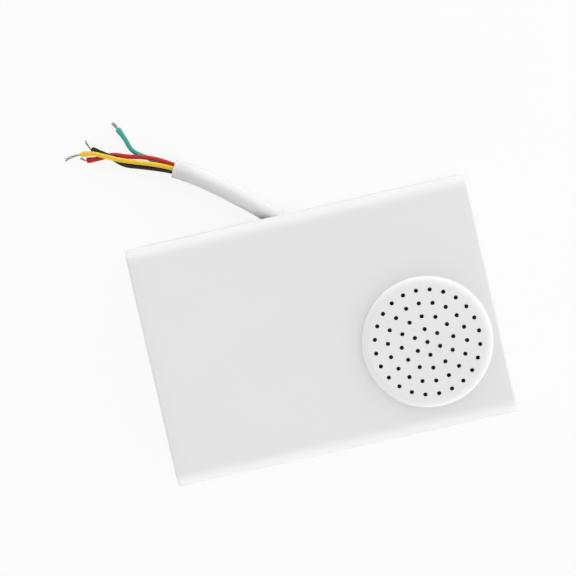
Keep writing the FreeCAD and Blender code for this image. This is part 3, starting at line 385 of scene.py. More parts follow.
# %% The cover
def turned_surface(outline, segments, middle=(0.0, 0.0)):
    """An outline of (radius, height) carried round: the point is (r cos a, r sin a, z) for each angle a."""
    angle = np.linspace(0, 2 * math.pi, segments, endpoint=False)
    radius, height = np.asarray(outline, dtype=float).T
    x = middle[0] + radius[:, None] * np.cos(angle)
    y = middle[1] + radius[:, None] * np.sin(angle)
    z = np.repeat(height[:, None], segments, axis=1)
    return np.stack([x, y, z], axis=-1).reshape(-1, 3), grid_quads(len(radius), segments, wrap=True)


def joined(parts):
    """Several (points, quads) pairs as one pair."""
    points, quads, total = [], [], 0
    for some_points, some_quads in parts:
        points.append(some_points)
        quads.append(some_quads + total)
        total += len(some_points)
    return np.concatenate(points), np.concatenate(quads)


half_length, half_width, box_top, edge_radius, end_radius = 60.0, 42.0, 28.0, 5.5, 1.0
wall = 2.2
inner_end_radius = 0.4
outside, skin_quads = tray_skin(half_length, half_width, box_top, edge_radius, end_radius)
inner_sizes = [size - wall for size in (half_length, half_width, box_top, edge_radius)]
inside, _ = tray_skin(*inner_sizes, inner_end_radius)
_, kept, which = np.unique(np.round(outside, 4), axis=0, return_index=True, return_inverse=True)
skin_quads = which.reshape(-1)[skin_quads]
outside, inside = outside[kept], inside[kept]
rim = open_edges(skin_quads)
wall_quads = np.column_stack([rim[:, ::-1], rim + len(outside)])
tray = (np.concatenate([outside, inside]),
        np.concatenate([skin_quads, skin_quads[:, ::-1] + len(outside), wall_quads]))
boss_x, boss_y, boss_bore, boss_radius, boss_foot, boss_end = 53, 35, 1.15, 2.6, 4.7, 26.2
boss_outline = [(boss_bore, boss_foot), (boss_radius, boss_foot), (boss_radius, boss_end)]
boss_outline += [(boss_bore, boss_end), (boss_bore, boss_foot)]
bosses = [turned_surface(boss_outline, 32, (x, y)) for x in (-boss_x, boss_x) for y in (-boss_y, boss_y)]
cover = new_piece("cover_shell", joined([tray, *bosses]), 50)
bevelled(cover, 0.15, 50)
settle(cover, "cover", "shell_white", shell_white, "front_cover")

# %% [markdown]
# ## The perforated cap
# Sixty-one holes stand in rings of 1, 6, 12, 18 and 24. Each hole gets its own cell of its ring, and
# the border of a cell has as many points as the cells beside it need, so the whole disc is one closed
# surface. The rim is a quarter of an ellipse, wider than it is high.

# %% Cells round the holes
cap_top = 30.0
cap_under = 28.4
hole_radius = 0.75
hole_lip = 0.09
hole_pitch = 4.5
disc_edge = 19.0


def cell_border(inner, outer, half, inner_steps, outer_steps, side_steps):
    """Round one cell: along its outer arc, down one side, back along its inner arc, up the other side."""
    out = np.linspace(-half, half, outer_steps + 1)[:-1]
    down = np.linspace(outer, inner, side_steps + 1)[:-1]
    along = np.linspace(half, -half, inner_steps + 1)[:-1]
    rise = np.linspace(inner, outer, side_steps + 1)[:-1]
    radius = np.concatenate([np.full(len(out), outer), down, np.full(len(along), inner), rise])
    angle = np.concatenate([out, np.full(len(down), half), along, np.full(len(rise), -half)])
    return np.column_stack([radius * np.cos(angle), radius * np.sin(angle)])


def hole_surface(border, at):
    """From the border on top, in to the hole, down its wall and out to the border underneath."""
    ray = border - at
    unit = ray / np.linalg.norm(ray, axis=1, keepdims=True)
    wide = at + unit * (hole_radius + hole_lip)
    narrow = at + unit * hole_radius
    flat = [border, 0.5 * border + 0.5 * wide, 0.15 * border + 0.85 * wide, wide]
    rows = [*flat, narrow, narrow, *flat[::-1]]
    heights = [cap_top] * 4 + [cap_top - hole_lip, cap_under + hole_lip] + [cap_under] * 4
    return np.stack([np.column_stack([row, np.full(len(row), z)]) for row, z in zip(rows, heights)])


def ring_of_holes(surface, count, turn):
    """The same cell turned round the disc's middle, all copies at once."""
    angle = math.radians(turn) + 2 * math.pi * np.arange(count) / count
    cos, sin = np.cos(angle)[:, None, None], np.sin(angle)[:, None, None]
    x, y, z = surface[..., 0], surface[..., 1], surface[..., 2]
    points = np.stack([x * cos - y * sin, x * sin + y * cos, np.broadcast_to(z, (count, *z.shape))], axis=-1)
    rows, around = z.shape
    quads = grid_quads(rows, around, wrap=True)
    shifts = (np.arange(count) * rows * around)[:, None, None]
    return points.reshape(-1, 3), (quads + shifts).reshape(-1, 4)


middle_angle = np.linspace(0, 2 * math.pi, 24, endpoint=False)
middle_border = 0.5 * hole_pitch * np.column_stack([np.cos(middle_angle), np.sin(middle_angle)])
cells = [ring_of_holes(hole_surface(middle_border, np.zeros(2)), 1, 0)]
# Ring, turn in degrees, and the steps on a cell's inner arc, outer arc and sides.
ring_facts = [(1, 30, 4, 8, 6), (2, 0, 4, 6, 7), (3, 10, 4, 8, 6), (4, 0, 6, 6, 6)]
for ring, turn, inner_steps, outer_steps, side_steps in ring_facts:
    outer = disc_edge if ring == 4 else (ring + 0.5) * hole_pitch
    half = math.pi / (6 * ring)
    border = cell_border((ring - 0.5) * hole_pitch, outer, half, inner_steps, outer_steps, side_steps)
    surface = hole_surface(border, np.array([ring * hole_pitch, 0.0]))
    cells.append(ring_of_holes(surface, 6 * ring, turn))
print(sum(len(quads) for _, quads in cells), "faces round the holes")

# %% The rim, the spigot and the claws
cap_radius, spigot_radius = 22.5, 20.5
rim_wide, rim_high = 2.8, 1.8
spigot_foot, chamfer = 25.8, 0.2
rim_angle = np.linspace(0, math.pi / 2, 14)
rim_out = cap_radius - rim_wide + rim_wide * np.sin(rim_angle)
rim_up = cap_top - rim_high + rim_high * np.cos(rim_angle)
rim_outline = [
    (disc_edge, cap_top), *zip(rim_out, rim_up), (cap_radius, box_top + 0.05), (cap_radius - 0.1, box_top),
    (spigot_radius, box_top), (spigot_radius, spigot_foot + chamfer), (spigot_radius - chamfer, spigot_foot),
    (disc_edge + chamfer, spigot_foot), (disc_edge, spigot_foot + chamfer), (disc_edge, cap_under),
]
rim_surface = turned_surface(rim_outline, 144)
claw_section = np.array([
    (19.1, 25.9), (20.2, 25.9), (20.2, 25.7), (20.9, 25.7), (20.9, 25.1), (20.2, 24.4), (19.1, 24.4)])
claw_half = 8.6


def claw_surface(turn):
    """The hooked section carried round through twice the half angle, and closed at both ends."""
    end = np.repeat(claw_section.mean(axis=0)[None], len(claw_section), axis=0)
    radius, height = np.moveaxis(np.stack([end, *[claw_section] * 7, end]), -1, 0)
    angle = np.radians([-claw_half, *np.linspace(-claw_half, claw_half, 7), claw_half])[:, None]
    angle = angle + math.radians(turn)
    rows = np.stack([radius * np.cos(angle), radius * np.sin(angle), height], axis=-1)
    return rows.reshape(-1, 3), grid_quads(len(rows), len(claw_section), wrap=True)


cap_points, cap_quads = joined([*cells, rim_surface, *[claw_surface(turn) for turn in (0, 120, 240)]])
cap_points[:, :2] += grille_centre
cap = new_piece("grille_cap", (cap_points, cap_quads), 40, merge=1e-6)
settle(cap, "cover", "grille_white", grille_white, "speaker_grille")

# %% [markdown]
# ## The cable
# The cable is a round sheath with four insulated cores. Each follows the line of its route: a smooth
# spline that has the route's points as its control points. A tube is then a circle carried along
# that line, with directions that turn no more than the line itself does.

# %% Lines and tubes
def smooth_line(route, resolution=16):
    """The points of a route's own NURBS line, in millimetres."""
    curve = bpy.data.curves.new("route", "CURVE")
    curve.dimensions = "3D"
    spline = curve.splines.new("NURBS")
    spline.points.add(len(route) - 1)
    spline.points.foreach_set("co", np.column_stack([np.asarray(route) * MM, np.ones(len(route))]).ravel())
    spline.order_u = 3
    spline.use_endpoint_u = True
    spline.resolution_u = resolution
    holder = placed("route", curve)
    mesh = bpy.data.meshes.new_from_object(holder)
    line = np.empty(3 * len(mesh.vertices))
    mesh.vertices.foreach_get("co", line)
    bpy.data.objects.remove(holder)
    bpy.data.meshes.remove(mesh)
    bpy.data.curves.remove(curve)
    return line.reshape(-1, 3) / MM


def travelled(line):
    """How far along the line each of its points is."""
    return np.concatenate([[0], np.cumsum(np.linalg.norm(np.diff(line, axis=0), axis=1))])


def even_line(line, step):
    """The same line with points at even steps."""
    far = travelled(line)
    wanted = np.linspace(0, far[-1], max(8, int(far[-1] / step)) + 1)
    return np.column_stack([np.interp(wanted, far, line[:, axis]) for axis in range(3)])


def directions(line):
    """Along the line, and two directions square to it that are carried on without twist."""
    along = np.gradient(line, axis=0)
    along /= np.linalg.norm(along, axis=1, keepdims=True)
    side = np.cross(along[0], (0.0, 0.0, 1.0))
    sides = [side / np.linalg.norm(side)]
    for way in along[1:]:
        side = sides[-1] - way * (sides[-1] @ way)
        sides.append(side / np.linalg.norm(side))
    sides = np.array(sides)
    return along, sides, np.cross(along, sides)


def tube(line, rings, segments, shape=None):
    """Circles along a line: rings holds (index of the line's point, step along it, radius) for each.

    shape(distance, angle) multiplies the radius, for ridges and dents.
    """
    along, side, over = directions(line)
    index, step, radius = (np.array(column) for column in zip(*rings))
    index, step, radius = index % len(line), step[:, None], radius[:, None]
    angle = np.linspace(0, 2 * math.pi, segments, endpoint=False)
    distance = travelled(line)[index][:, None] + step
    reach = radius * (shape(distance, angle) if shape else np.ones((1, segments)))
    middle = line[index] + along[index] * step
    points = middle[:, None] + reach[..., None] * (
        np.cos(angle)[:, None] * side[index][:, None] + np.sin(angle)[:, None] * over[index][:, None])
    return points.reshape(-1, 3), grid_quads(len(rings), segments, wrap=True)


def even_rings(line, radius):
    """The rings of a tube of one radius, closed at its start and left open before its last point."""
    return [(0, 0, 0.001), (0, 0, radius), *[(index, 0, radius) for index in range(1, len(line) - 1)]]


def straighten(piece, line):
    """Each point's place on the unbent cord: its way along the line, and its offset sideways and up.

    The attribute holds (distance, r cos a, r sin a) in metres, for finishes that follow the cord.
    """
    mesh = piece.data
    points = np.empty(3 * len(mesh.vertices))
    mesh.vertices.foreach_get("co", points)
    points = points.reshape(-1, 3) / MM
    nearest = np.argmin(np.linalg.norm(points[:, None] - line[None], axis=2), axis=1)
    _, side, over = directions(line)
    ray = points - line[nearest]
    across = [np.sum(ray * way[nearest], axis=1) for way in (side, over)]
    straight = mesh.attributes.new("straight", "FLOAT_VECTOR", "POINT")
    straight.data.foreach_set("vector", (np.column_stack([travelled(line)[nearest], *across]) * MM).ravel())

# %% [markdown]
# The sheath is soft white PVC, a little glossier than the box. Drawing it through a die leaves faint
# streaks along it, and the four cores inside press through as very shallow ridges that wind round it.
# At its cut end the wall is broken round, and the bore behind it is deep enough to look into.

# %% The sheath
def drawn_plastic(name, colour, roughness, streak, grain, **sockets):
    """Extruded plastic: streaks follow the cord's own straight coordinates."""
    finish, tree, shader = shader_of(name, colour, roughness, **sockets)
    streaks = noise_of(tree, 900.0, 3.0, stretch=(0.03, 1.0, 1.0), attribute="straight")
    fill(
        shader, Base_Color=mixed(mapped(streaks), colour, darker(colour, streak)),
        Roughness=mapped(streaks, roughness - 0.06, roughness + 0.08))
    grains = noise_of(tree, 1500.0, stretch=(0.15, 1.0, 1.0), attribute="straight")
    relief(shader, grains, grain, 0.04)
    return finish


def sheath_form(distance, angle):
    """A slow swelling along the sheath, and four faint ridges that wind round once in 55 mm."""
    swell = 0.004 * np.sin(distance / 6.5) + 0.003 * np.sin(distance / 2.9 + 1.0)
    ridges = 0.004 * np.cos(4 * (angle - 2 * math.pi * distance / 55.0))
    return 1.0 + swell + ridges - 0.006


jacket_route = [
    (30.0, 30.5, 7.1), (5.0, 30.5, 7.1), (-15.0, 48.6, 3.32),
    (-25.3, 57.3, 3.32), (-32.9, 62.95, 3.32), (-38.8, 66.35, 3.32),
]
jacket_radius = 3.3
bore_radius = 2.45
bore_depth = 6.0
jacket_line = even_line(smooth_line(jacket_route), 0.9)
jacket_rings = even_rings(jacket_line, jacket_radius)
jacket_rings += [(-1, -0.22, jacket_radius), (-1, -0.07, jacket_radius - 0.07), (-1, 0, jacket_radius - 0.24)]
jacket_rings += [(-1, 0.02, bore_radius + 0.2), (-1, -0.1, bore_radius), (-1, -1.5, bore_radius)]
jacket_rings += [(-1, -bore_depth, bore_radius), (-1, -bore_depth, 0.001)]
sheath = new_piece("cable_sheath", tube(jacket_line, jacket_rings, 48, sheath_form), 50, merge=0.003 * MM)
straighten(sheath, jacket_line)
sheath_white = drawn_plastic(
    "sheath_white", (0.79, 0.79, 0.79), 0.36, 0.97, 0.05, IOR=1.5, Subsurface_Weight=0.7,
    Subsurface_Scale=0.003, Subsurface_Radius=(1, 1, 1))
settle(sheath, "base", "jacket_grey", sheath_white, "cable_jacket")

# %% [markdown]
# The cores lie in a star inside the sheath: yellow on top, green below, red and black at the sides.
# Outside it they part and sink to the floor. Each is a thin tube of coloured PVC that the stripping
# tool has squeezed flat near the cut. The cut has a small ragged lip, and the bare strands start there.

# %% The four cores
core_radius = 0.8
jacket_end = np.array(jacket_route[-1])
jacket_way = jacket_end - np.array(jacket_route[-2])
jacket_way /= np.linalg.norm(jacket_way)
across_way = np.array([jacket_way[1], -jacket_way[0], 0.0])
lay_offset = math.sqrt(2) * core_radius


def core_start(side, rise):
    """The first two points of a core: at the bottom of the stripped bore and at the sheath's mouth."""
    offset = (across_way * side + np.array([0.0, 0.0, rise])) * lay_offset
    return [tuple(jacket_end - bore_depth * jacket_way + offset), tuple(jacket_end + offset)]


core_routes = {
    "yellow": [
        *core_start(0, 1), (-44.5, 69.0, 4.8), (-50.3, 71.1, 4.9), (-56.2, 73.2, 5.15),
        (-61.6, 75.9, 5.2), (-66.6, 78.4, 3.4), (-70.3, 78.5, 1.7),
    ],
    "red": [
        *core_start(1, 0), (-43.0, 70.4, 3.35), (-48.4, 72.7, 3.15), (-54.0, 74.0, 1.9),
        (-59.6, 76.3, 0.81), (-64.3, 75.5, 0.81), (-68.6, 76.1, 0.81),
    ],
    "black": [
        *core_start(-1, 0), (-45.2, 67.7, 1.9), (-50.9, 69.7, 1.1), (-56.4, 71.5, 0.81),
        (-60.4, 76.2, 3.7), (-65.9, 79.4, 1.1),
    ],
    "green": [
        *core_start(0, -1), (-43.6, 69.3, 1.0), (-47.8, 72.6, 0.81), (-51.0, 74.6, 0.81),
        (-52.7, 76.9, 0.81), (-53.5, 80.4, 0.81), (-55.4, 84.5, 0.81),
    ],
}
core_colours = {
    "yellow": (0.90, 0.58, 0.035),
    "red": (0.52, 0.022, 0.014),
    "black": (0.026, 0.014, 0.008),
    "green": (0.055, 0.40, 0.345),
}


def ragged_end(distance, angle):
    """Nothing along the core, and a few shallow notches in the last half millimetre."""
    near = np.clip((distance - distance.max() + 0.5) / 0.5, 0, 1)
    return 1.0 + near * (0.05 * np.sin(3 * angle + 1.0) + 0.035 * np.sin(7 * angle))


def squeezed_end(distance, angle, before=1.0, drawn=0.0):
    """An ellipse in section near the cut: widest this far before it, and drawn in by a share at the cut.

    Its half axes are w(s) and h(s), so the radius is 1 / sqrt((cos a / w) ** 2 + (sin a / h) ** 2).
    """
    left = distance.max() - distance
    wide = 1 + 0.3 * np.exp(-((left - before) / 1.4) ** 2) - drawn * np.exp(-(left / 0.7) ** 2)
    high = 1 - 0.25 * np.exp(-((left - before + 0.6) / 1.6) ** 2)
    return ragged_end(distance, angle) / np.sqrt((np.cos(angle) / wide) ** 2 + (np.sin(angle) / high) ** 2)


def drawn_end(distance, angle):
    """The yellow core's end, which the stripping tool drew out into a point."""
    return squeezed_end(distance, angle, 2.2, 0.3)


cores, core_lines = {}, {}
for colour, route in core_routes.items():
    line = even_line(smooth_line(route), 0.55)
    rings = even_rings(line, core_radius)
    rings += [(-1, -0.1, core_radius), (-1, 0, 0.93 * core_radius), (-1, 0, 0.6 * core_radius)]
    rings += [(-1, -0.3, 0.5 * core_radius), (-1, -0.3, 0.001)]
    form = drawn_end if colour == "yellow" else squeezed_end
    core = new_piece(f"{colour}_core", tube(line, rings, 28, form), 50, merge=0.003 * MM)
    straighten(core, line)
    slot = f"insulation_{colour}"
    finish = drawn_plastic(slot, core_colours[colour], 0.34, 0.88, 0.08, IOR=1.5, Specular_IOR_Level=0.3)
    settle(core, "base", slot, finish, f"core_{colour}")
    cores[colour], core_lines[colour] = core, line

# %% [markdown]
# Each bare end is a bundle of seven fine tinned strands, darker than new because they have lain in
# the air. On three cores they stay twisted for a little way and then part: the yellow core's into two
# long hairs. The green core's end was dipped in solder, so it is one lump in which the strands show
# as soft ridges.

# %% Bare strands
strand_radius = 0.1


def conductor_start(colour, run):
    """The first two points of a bare end, which leaves its core straight."""
    before, end = (np.array(point) for point in core_routes[colour][-2:])
    way = (end - before) / np.linalg.norm(end - before)
    return [tuple(end), tuple(end + run * way)]


def strand(line, index, count, splay, seed, short, apart):
    """One strand: round the line at r(s), turned by s / 5 mm, and drifting off by splay * (s / end) ** 2.

    Every third one also leaves the others sideways, by apart * (s / end) ** 1.3.
    """
    random = np.random.default_rng(seed)
    far = travelled(line)
    share = far / far[-1]
    _, side, over = directions(line)
    ring = 0.0 if index == 0 else 2.0 * strand_radius
    angle = 2 * math.pi * index / max(1, count - 1) + 2 * math.pi * far / 5.0
    drift = random.normal(0, splay, 2)
    kink = 0.06 * splay * np.sin(share * 9 + random.uniform(0, 6))
    leaving = apart * share ** 1.3 if index % 3 == 1 else 0.0
    out = ring * np.cos(angle) + drift[0] * share ** 2 + leaving + kink
    rise = ring * np.sin(angle) + 0.4 * drift[1] * share ** 2
    wire = line + out[:, None] * side + rise[:, None] * over
    wire[:, 2] = np.maximum(wire[:, 2], strand_radius + 0.03)
    keep = share <= 1.0 - short * random.uniform(0, 1)
    wire = wire[keep]
    return tube(wire, [*even_rings(wire, strand_radius), (-1, 0, strand_radius), (-1, 0.03, 0.001)], 8)


conductor_routes = {
    "yellow": [
        *conductor_start("yellow", 1.3), (-73.2, 78.45, 0.5), (-74.8, 78.0, 0.45), (-76.4, 77.6, 0.42),
    ],
    "red": [*conductor_start("red", 0.6), (-70.1, 76.9, 0.7), (-70.8, 77.5, 0.45)],
    "black": [
        *conductor_start("black", 0.5), (-66.8, 80.5, 0.75), (-67.1, 81.5, 0.5),
        (-67.6, 82.4, 0.45), (-67.3, 83.3, 0.45),
    ],
    "green": [*conductor_start("green", 1.0), (-56.7, 87.0, 0.7)],
}
# For each bundle: how far its strands splay, how much shorter some are, and how far some part, in
# millimetres but for the middle one, which is a share of the length.
strand_count = 7
strand_facts = {"yellow": (0.06, 0.25, 0.75), "red": (0.2, 0.2, 0.25), "black": (0.08, 0.3, 0.0)}


def solder_form(distance, angle):
    """Seven soft ridges that wind round, on a lump that is narrow where it leaves the core."""
    share = np.clip(distance / distance.max() / 0.6, 0, 1)
    return (0.6 + 0.42 * np.sin(0.5 * math.pi * share)) * (1 + 0.05 * np.cos(7 * angle + distance * 1.3))


tinned, tree, shader = shader_of("tinned_wire", (0.42, 0.41, 0.39), 0.34, 1.0)
dull = mapped(noise_of(tree, 1800.0, 3.0))
fill(
    shader, Base_Color=mixed(dull, (0.50, 0.49, 0.47), (0.26, 0.25, 0.23)),
    Roughness=mapped(noise_of(tree, 2500.0), 0.24, 0.5))
relief(shader, noise_of(tree, 4000.0, 3.0), 0.2, 0.04)
for number, (colour, route) in enumerate(conductor_routes.items()):
    line = even_line(smooth_line(route), 0.2)
    if colour == "green":
        rings = [(0, -0.3, 0.001), (0, 0, 0.5), *even_rings(line, 0.55)[2:]]
        rings += [(-1, -0.12, 0.5), (-1, 0, 0.3), (-1, 0.05, 0.001)]
        surface = tube(line, rings, 42, solder_form)
    else:
        splay, *ends = strand_facts[colour]
        surface = joined([
            strand(line, index, strand_count, splay, 10 * number + index, *ends)
            for index in range(strand_count)])
    wires = new_piece(f"{colour}_strands", surface, 60, merge=0.002 * MM)
    settle(wires, "base", "conductor_tinned", tinned, f"conductor_{colour}")

# %% [markdown]
# ## The pieces inside
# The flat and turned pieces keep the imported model's own shape. A copy of each gets its corners joined,
# its split faces whole again, and a fine bevel, because a knife-sharp edge never catches light.

# %% Copies with softened edges
slot_of = {row["node"]: row["material_slot"] for row in frame["record"]["subparts"]}


def dressed(node, finish, bevel=0.0, degrees=35):
    """A merged copy of a node, which then stands for it."""
    mesh = nodes[node].data.copy()
    with edited(mesh) as opened:
        bmesh.ops.remove_doubles(opened, verts=opened.verts, dist=0.002 * MM)
        bmesh.ops.dissolve_limit(
            opened, angle_limit=math.radians(0.5), verts=opened.verts, edges=opened.edges)
    mesh.name = f"{node}_dressed"
    piece = placed(mesh.name, mesh)
    if bevel:
        bevelled(piece, bevel, 40)
    smooth(piece, degrees)
    settle(piece, nodes[node]["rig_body"], slot_of[node], finish, node)


dressed("back_plate", plate_white, 0.08)

# %% [markdown]
# ### Masks
# Many small parts are two materials in one piece, such as a body and its wires. A mask is a value of
# nought or one that comes from the height, from the way a face looks, or from the distance to a middle.

# %% Helpers for masks
def maths(operation, *values):
    """One step of arithmetic on numbers and other nodes' outputs."""
    tree = next(value for value in values if isinstance(value, bpy.types.NodeSocket)).id_data
    step = node_of(tree, "ShaderNodeMath", operation=operation)
    for value, socket in zip(values, step.inputs):
        connect(value, socket)
    return step.outputs["Value"]


def near_nought(value, limit):
    """One where the value is less than the limit away from nought."""
    return maths("LESS_THAN", maths("ABSOLUTE", value), limit)


def vector_step(operation, vector, amount=(0.0, 0.0, 0.0)):
    step = node_of(vector.id_data, "ShaderNodeVectorMath", operation=operation, Vector=vector)
    step.inputs[1].default_value = amount
    return step.outputs["Value" if operation == "LENGTH" else "Vector"]


def part_of(tree, axis, normal=False):
    """One coordinate of the place in metres, or of the way the face looks, a tilt from -1 to 1."""
    source = node_of(tree, "ShaderNodeTexCoord").outputs["Normal" if normal else "Object"]
    return node_of(tree, "ShaderNodeSeparateXYZ", Vector=source).outputs[axis]


def way_from(tree, middle):
    """The way from an upright line's foot to the place."""
    return vector_step("SUBTRACT", coordinates(tree), (middle[0] * MM, middle[1] * MM, 0.0))


def away_from(tree, middle):
    """Distance from an upright line through the middle."""
    return vector_step("LENGTH", vector_step("MULTIPLY", way_from(tree, middle), (1.0, 1.0, 0.0)))


def overlaid(shader, mask, colour, roughness=0.3, metallic=1.0):
    """Where the mask is one, the shader takes this colour, roughness and metal."""
    base = shader.inputs["Base Color"]
    below = base.links[0].from_socket if base.links else tuple(base.default_value)[:3]
    connect(mixed(mask, below, colour), base)
    for name, number in (("Roughness", roughness), ("Metallic", metallic)):
        socket = shader.inputs[name]
        blend = node_of(mask.id_data, "ShaderNodeMix", data_type="FLOAT", Factor=mask)
        connect(socket.links[0].from_socket if socket.links else socket.default_value, blend.inputs[2])
        connect(number, blend.inputs[3])
        connect(blend.outputs[0], socket)


def grained(
        name, colour, roughness, metallic=0.0, *, scale, depth=0.03, strength=0.2, dull=0.85):
    """A plain finish with a little drift in colour and gloss and a fine grain in relief."""
    finish, tree, shader = shader_of(name, colour, roughness, metallic)
    drift = mapped(noise_of(tree, scale / 8, 3.0))
    gloss = mapped(noise_of(tree, scale / 3), roughness - 0.07, roughness + 0.07)
    fill(shader, Base_Color=mixed(drift, colour, darker(colour, dull)), Roughness=gloss)
    relief(shader, noise_of(tree, scale), strength, depth)
    return finish, tree, shader


tin = (0.74, 0.73, 0.70)

# %% [markdown]
# ### Screws, grommet and clamp
# The screws are zinc plated, with a faint bluish cast. The grommet is matt rubber, and the clamp is
# the plate's own plastic.

# %% Metal and rubber
zinc = grained("zinc_plate", (0.66, 0.67, 0.69), 0.3, 1.0, scale=2400.0, strength=0.12)[0]
rubber = grained("grommet_rubber", (0.025, 0.025, 0.027), 0.7, scale=1800.0)[0]
for node in ("cover_screws", "board_screws", "clamp_screws", "speaker_screws", "speaker_washers"):
    dressed(node, zinc, 0.05)
dressed("cable_grommet", rubber, 0.1)
dressed("cable_clamp", plate_white, 0.12)

# %% [markdown]
# ### The circuit board
# The board is glass laminate with a green solder mask. The tracks show through it as paler lines,
# here the borders of cells measured along the axes, and the bare edge is tan. White outlines
# mark where the two chips and the large capacitor sit.

# %% Solder mask and tracks
printed_width = 0.11
chip_outline = (5.6, 4.6)
edge_tilt = 0.6


def framed(tree, middle, half):
    """One within a thin line round a rectangle: the larger of |x| - a and |y| - b is near nought."""
    way = vector_step("ABSOLUTE", way_from(tree, middle))
    way = vector_step("SUBTRACT", way, (half[0] * MM, half[1] * MM, 1.0))
    x, y, _ = node_of(tree, "ShaderNodeSeparateXYZ", Vector=way).outputs
    return near_nought(maths("MAXIMUM", x, y), printed_width * MM)


def circled(tree, middle, radius):
    return near_nought(maths("SUBTRACT", away_from(tree, middle), radius * MM), printed_width * MM)


def board_finish():
    green = (0.010, 0.082, 0.030)
    finish, tree, shader = grained("board_green", green, 0.28, scale=1500.0, strength=0.05, dull=0.94)
    second, first = (
        node_of(
            tree, "ShaderNodeTexVoronoi", Scale=150.0, distance="MANHATTAN", feature=feature,
            Vector=coordinates(tree)).outputs["Distance"] for feature in ("F2", "F1"))
    track = maths("LESS_THAN", maths("SUBTRACT", second, first), 0.1)
    overlaid(shader, track, (0.022, 0.145, 0.05), 0.26, 0.0)
    printed = framed(tree, (-26.0, -2.0), chip_outline)
    others = [framed(tree, (-12.0, -10.0), chip_outline), circled(tree, (-7.0, 7.0), 5.6)]
    others += [circled(tree, spot, 3.0) for spot in ((-33.0, -15.5), (-26.0, -15.5), (-11.0, -20.0))]
    for mark in others:
        printed = maths("MAXIMUM", printed, mark)
    overlaid(shader, printed, (0.78, 0.79, 0.76), 0.5, 0.0)
    edge = near_nought(part_of(tree, "Z", normal=True), edge_tilt)
    overlaid(shader, edge, (0.34, 0.29, 0.13), 0.65, 0.0)
    return finish


dressed("circuit_board", board_finish(), 0.06)

# %% [markdown]
# ### Chips, capacitors and the transistor
# Epoxy packages are matt black with tinned legs. The electrolytic capacitors wear a shrink sleeve with
# a pale stripe down one side and a bare aluminium top, and the small discs are dipped in lacquer.

# %% Parts with legs
board_face = 7.6
chip_half_width = 3.22
transistor_foot, disc_foot = 1.99, 0.7
stripe_tilt, top_tilt = -0.86, 0.8
epoxy = (0.018, 0.018, 0.019)
for node, middle_y in (("melody_chip", -2.0), ("amplifier_chip", -10.0)):
    finish, tree, shader = grained(f"{node}_epoxy", epoxy, 0.55, scale=2600.0, strength=0.25)
    off_middle = maths("ABSOLUTE", maths("SUBTRACT", part_of(tree, "Y"), middle_y * MM))
    overlaid(shader, maths("GREATER_THAN", off_middle, chip_half_width * MM), tin)
    dressed(node, finish, 0.12)


def below_level(tree, level):
    return maths("LESS_THAN", part_of(tree, "Z"), level * MM)


finish, tree, shader = grained("transistor_epoxy", epoxy, 0.5, scale=2600.0, strength=0.25)
overlaid(shader, below_level(tree, board_face + transistor_foot), tin)
dressed("transistor", finish, 0.1)

sleeve, tree, shader = grained("can_sleeve", (0.018, 0.028, 0.085), 0.3, scale=700.0, strength=0.06)
stripe = maths("LESS_THAN", part_of(tree, "X", normal=True), stripe_tilt)
overlaid(shader, stripe, (0.55, 0.57, 0.60), 0.35, 0.0)
can_top = maths("GREATER_THAN", part_of(tree, "Z", normal=True), top_tilt)
overlaid(shader, can_top, (0.78, 0.78, 0.79), 0.28)
dressed("power_capacitor", sleeve, 0.1)
dressed("signal_capacitors", sleeve, 0.07)

lacquer = (0.50, 0.19, 0.035)
finish, tree, shader = grained("disc_lacquer", lacquer, 0.32, scale=1200.0, depth=0.1, strength=0.3)
overlaid(shader, below_level(tree, board_face + disc_foot), tin)
dressed("ceramic_capacitors", finish, 0.35)

# %% [markdown]
# ### Resistors and diodes
# Each lies on the board with its wires bent down at both ends. The body is a turned outline laid along
# Y, a resistor's fatter at its ends, and the wire is a thin tube. The colour bands go by the distance
# from the middle of the row.

# %% Lying bodies with bent wires
def lying_body(x, y, level, outline):
    """A turned outline laid along Y: the point is (x + r cos a, y + along, level + r sin a)."""
    points, quads = turned_surface(outline, 24)
    return np.column_stack([x + points[:, 0], y + points[:, 2], level + points[:, 1]]), quads


def bent_wire(x, y, level, half, bend=0.35, radius=0.29):
    """Up from the board, along over the body and down again."""
    rise = [(-half, board_face), (-half, level - bend), (-half, level), (-half + bend, level)]
    route = [(x, y + along, z) for along, z in rise] + [(x, y - along, z) for along, z in rise[::-1]]
    line = even_line(smooth_line(route), 0.25)
    return tube(line, [*even_rings(line, radius), (-1, 0, radius), (-1, 0, 0.001)], 10)


def row_of_parts(node, finish, places, y, radius, half, half_wire, waist):
    """All the parts of one kind on the board, as one piece."""
    share = np.array([0.0, 0.02, 0.08, 0.2, 0.3, 0.5, 0.7, 0.8, 0.92, 0.98, 1.0])
    swell = np.array([0.6, 0.85, 1.0, 1.0, waist, waist, waist, 1.0, 1.0, 0.85, 0.6])
    outline = [(0.001, -half), *zip(radius * swell, half * (2 * share - 1)), (0.001, half)]
    level = board_face + radius + 0.2
    surfaces = []
    for x in places:
        surfaces += [lying_body(x, y, level, outline), bent_wire(x, y, level, half_wire)]
    piece = new_piece(f"{node}_in_row", joined(surfaces), 45, merge=0.002 * MM)
    settle(piece, "base", slot_of[node], finish, node)


def banded(name, colour, middle_y, half, bands, roughness=0.35):
    """Bands across Y: each is (distance from the middle, half width, colour), and wires past the body."""
    finish, tree, shader = grained(name, colour, roughness, scale=1500.0, strength=0.08)
    along = maths("SUBTRACT", part_of(tree, "Y"), middle_y * MM)
    for offset, width, band in bands:
        inside = near_nought(maths("SUBTRACT", along, offset * MM), width * MM)
        overlaid(shader, inside, band, roughness, 0.0)
    past = maths("GREATER_THAN", maths("ABSOLUTE", along), (half + 0.01) * MM)
    overlaid(shader, past, tin)
    return finish


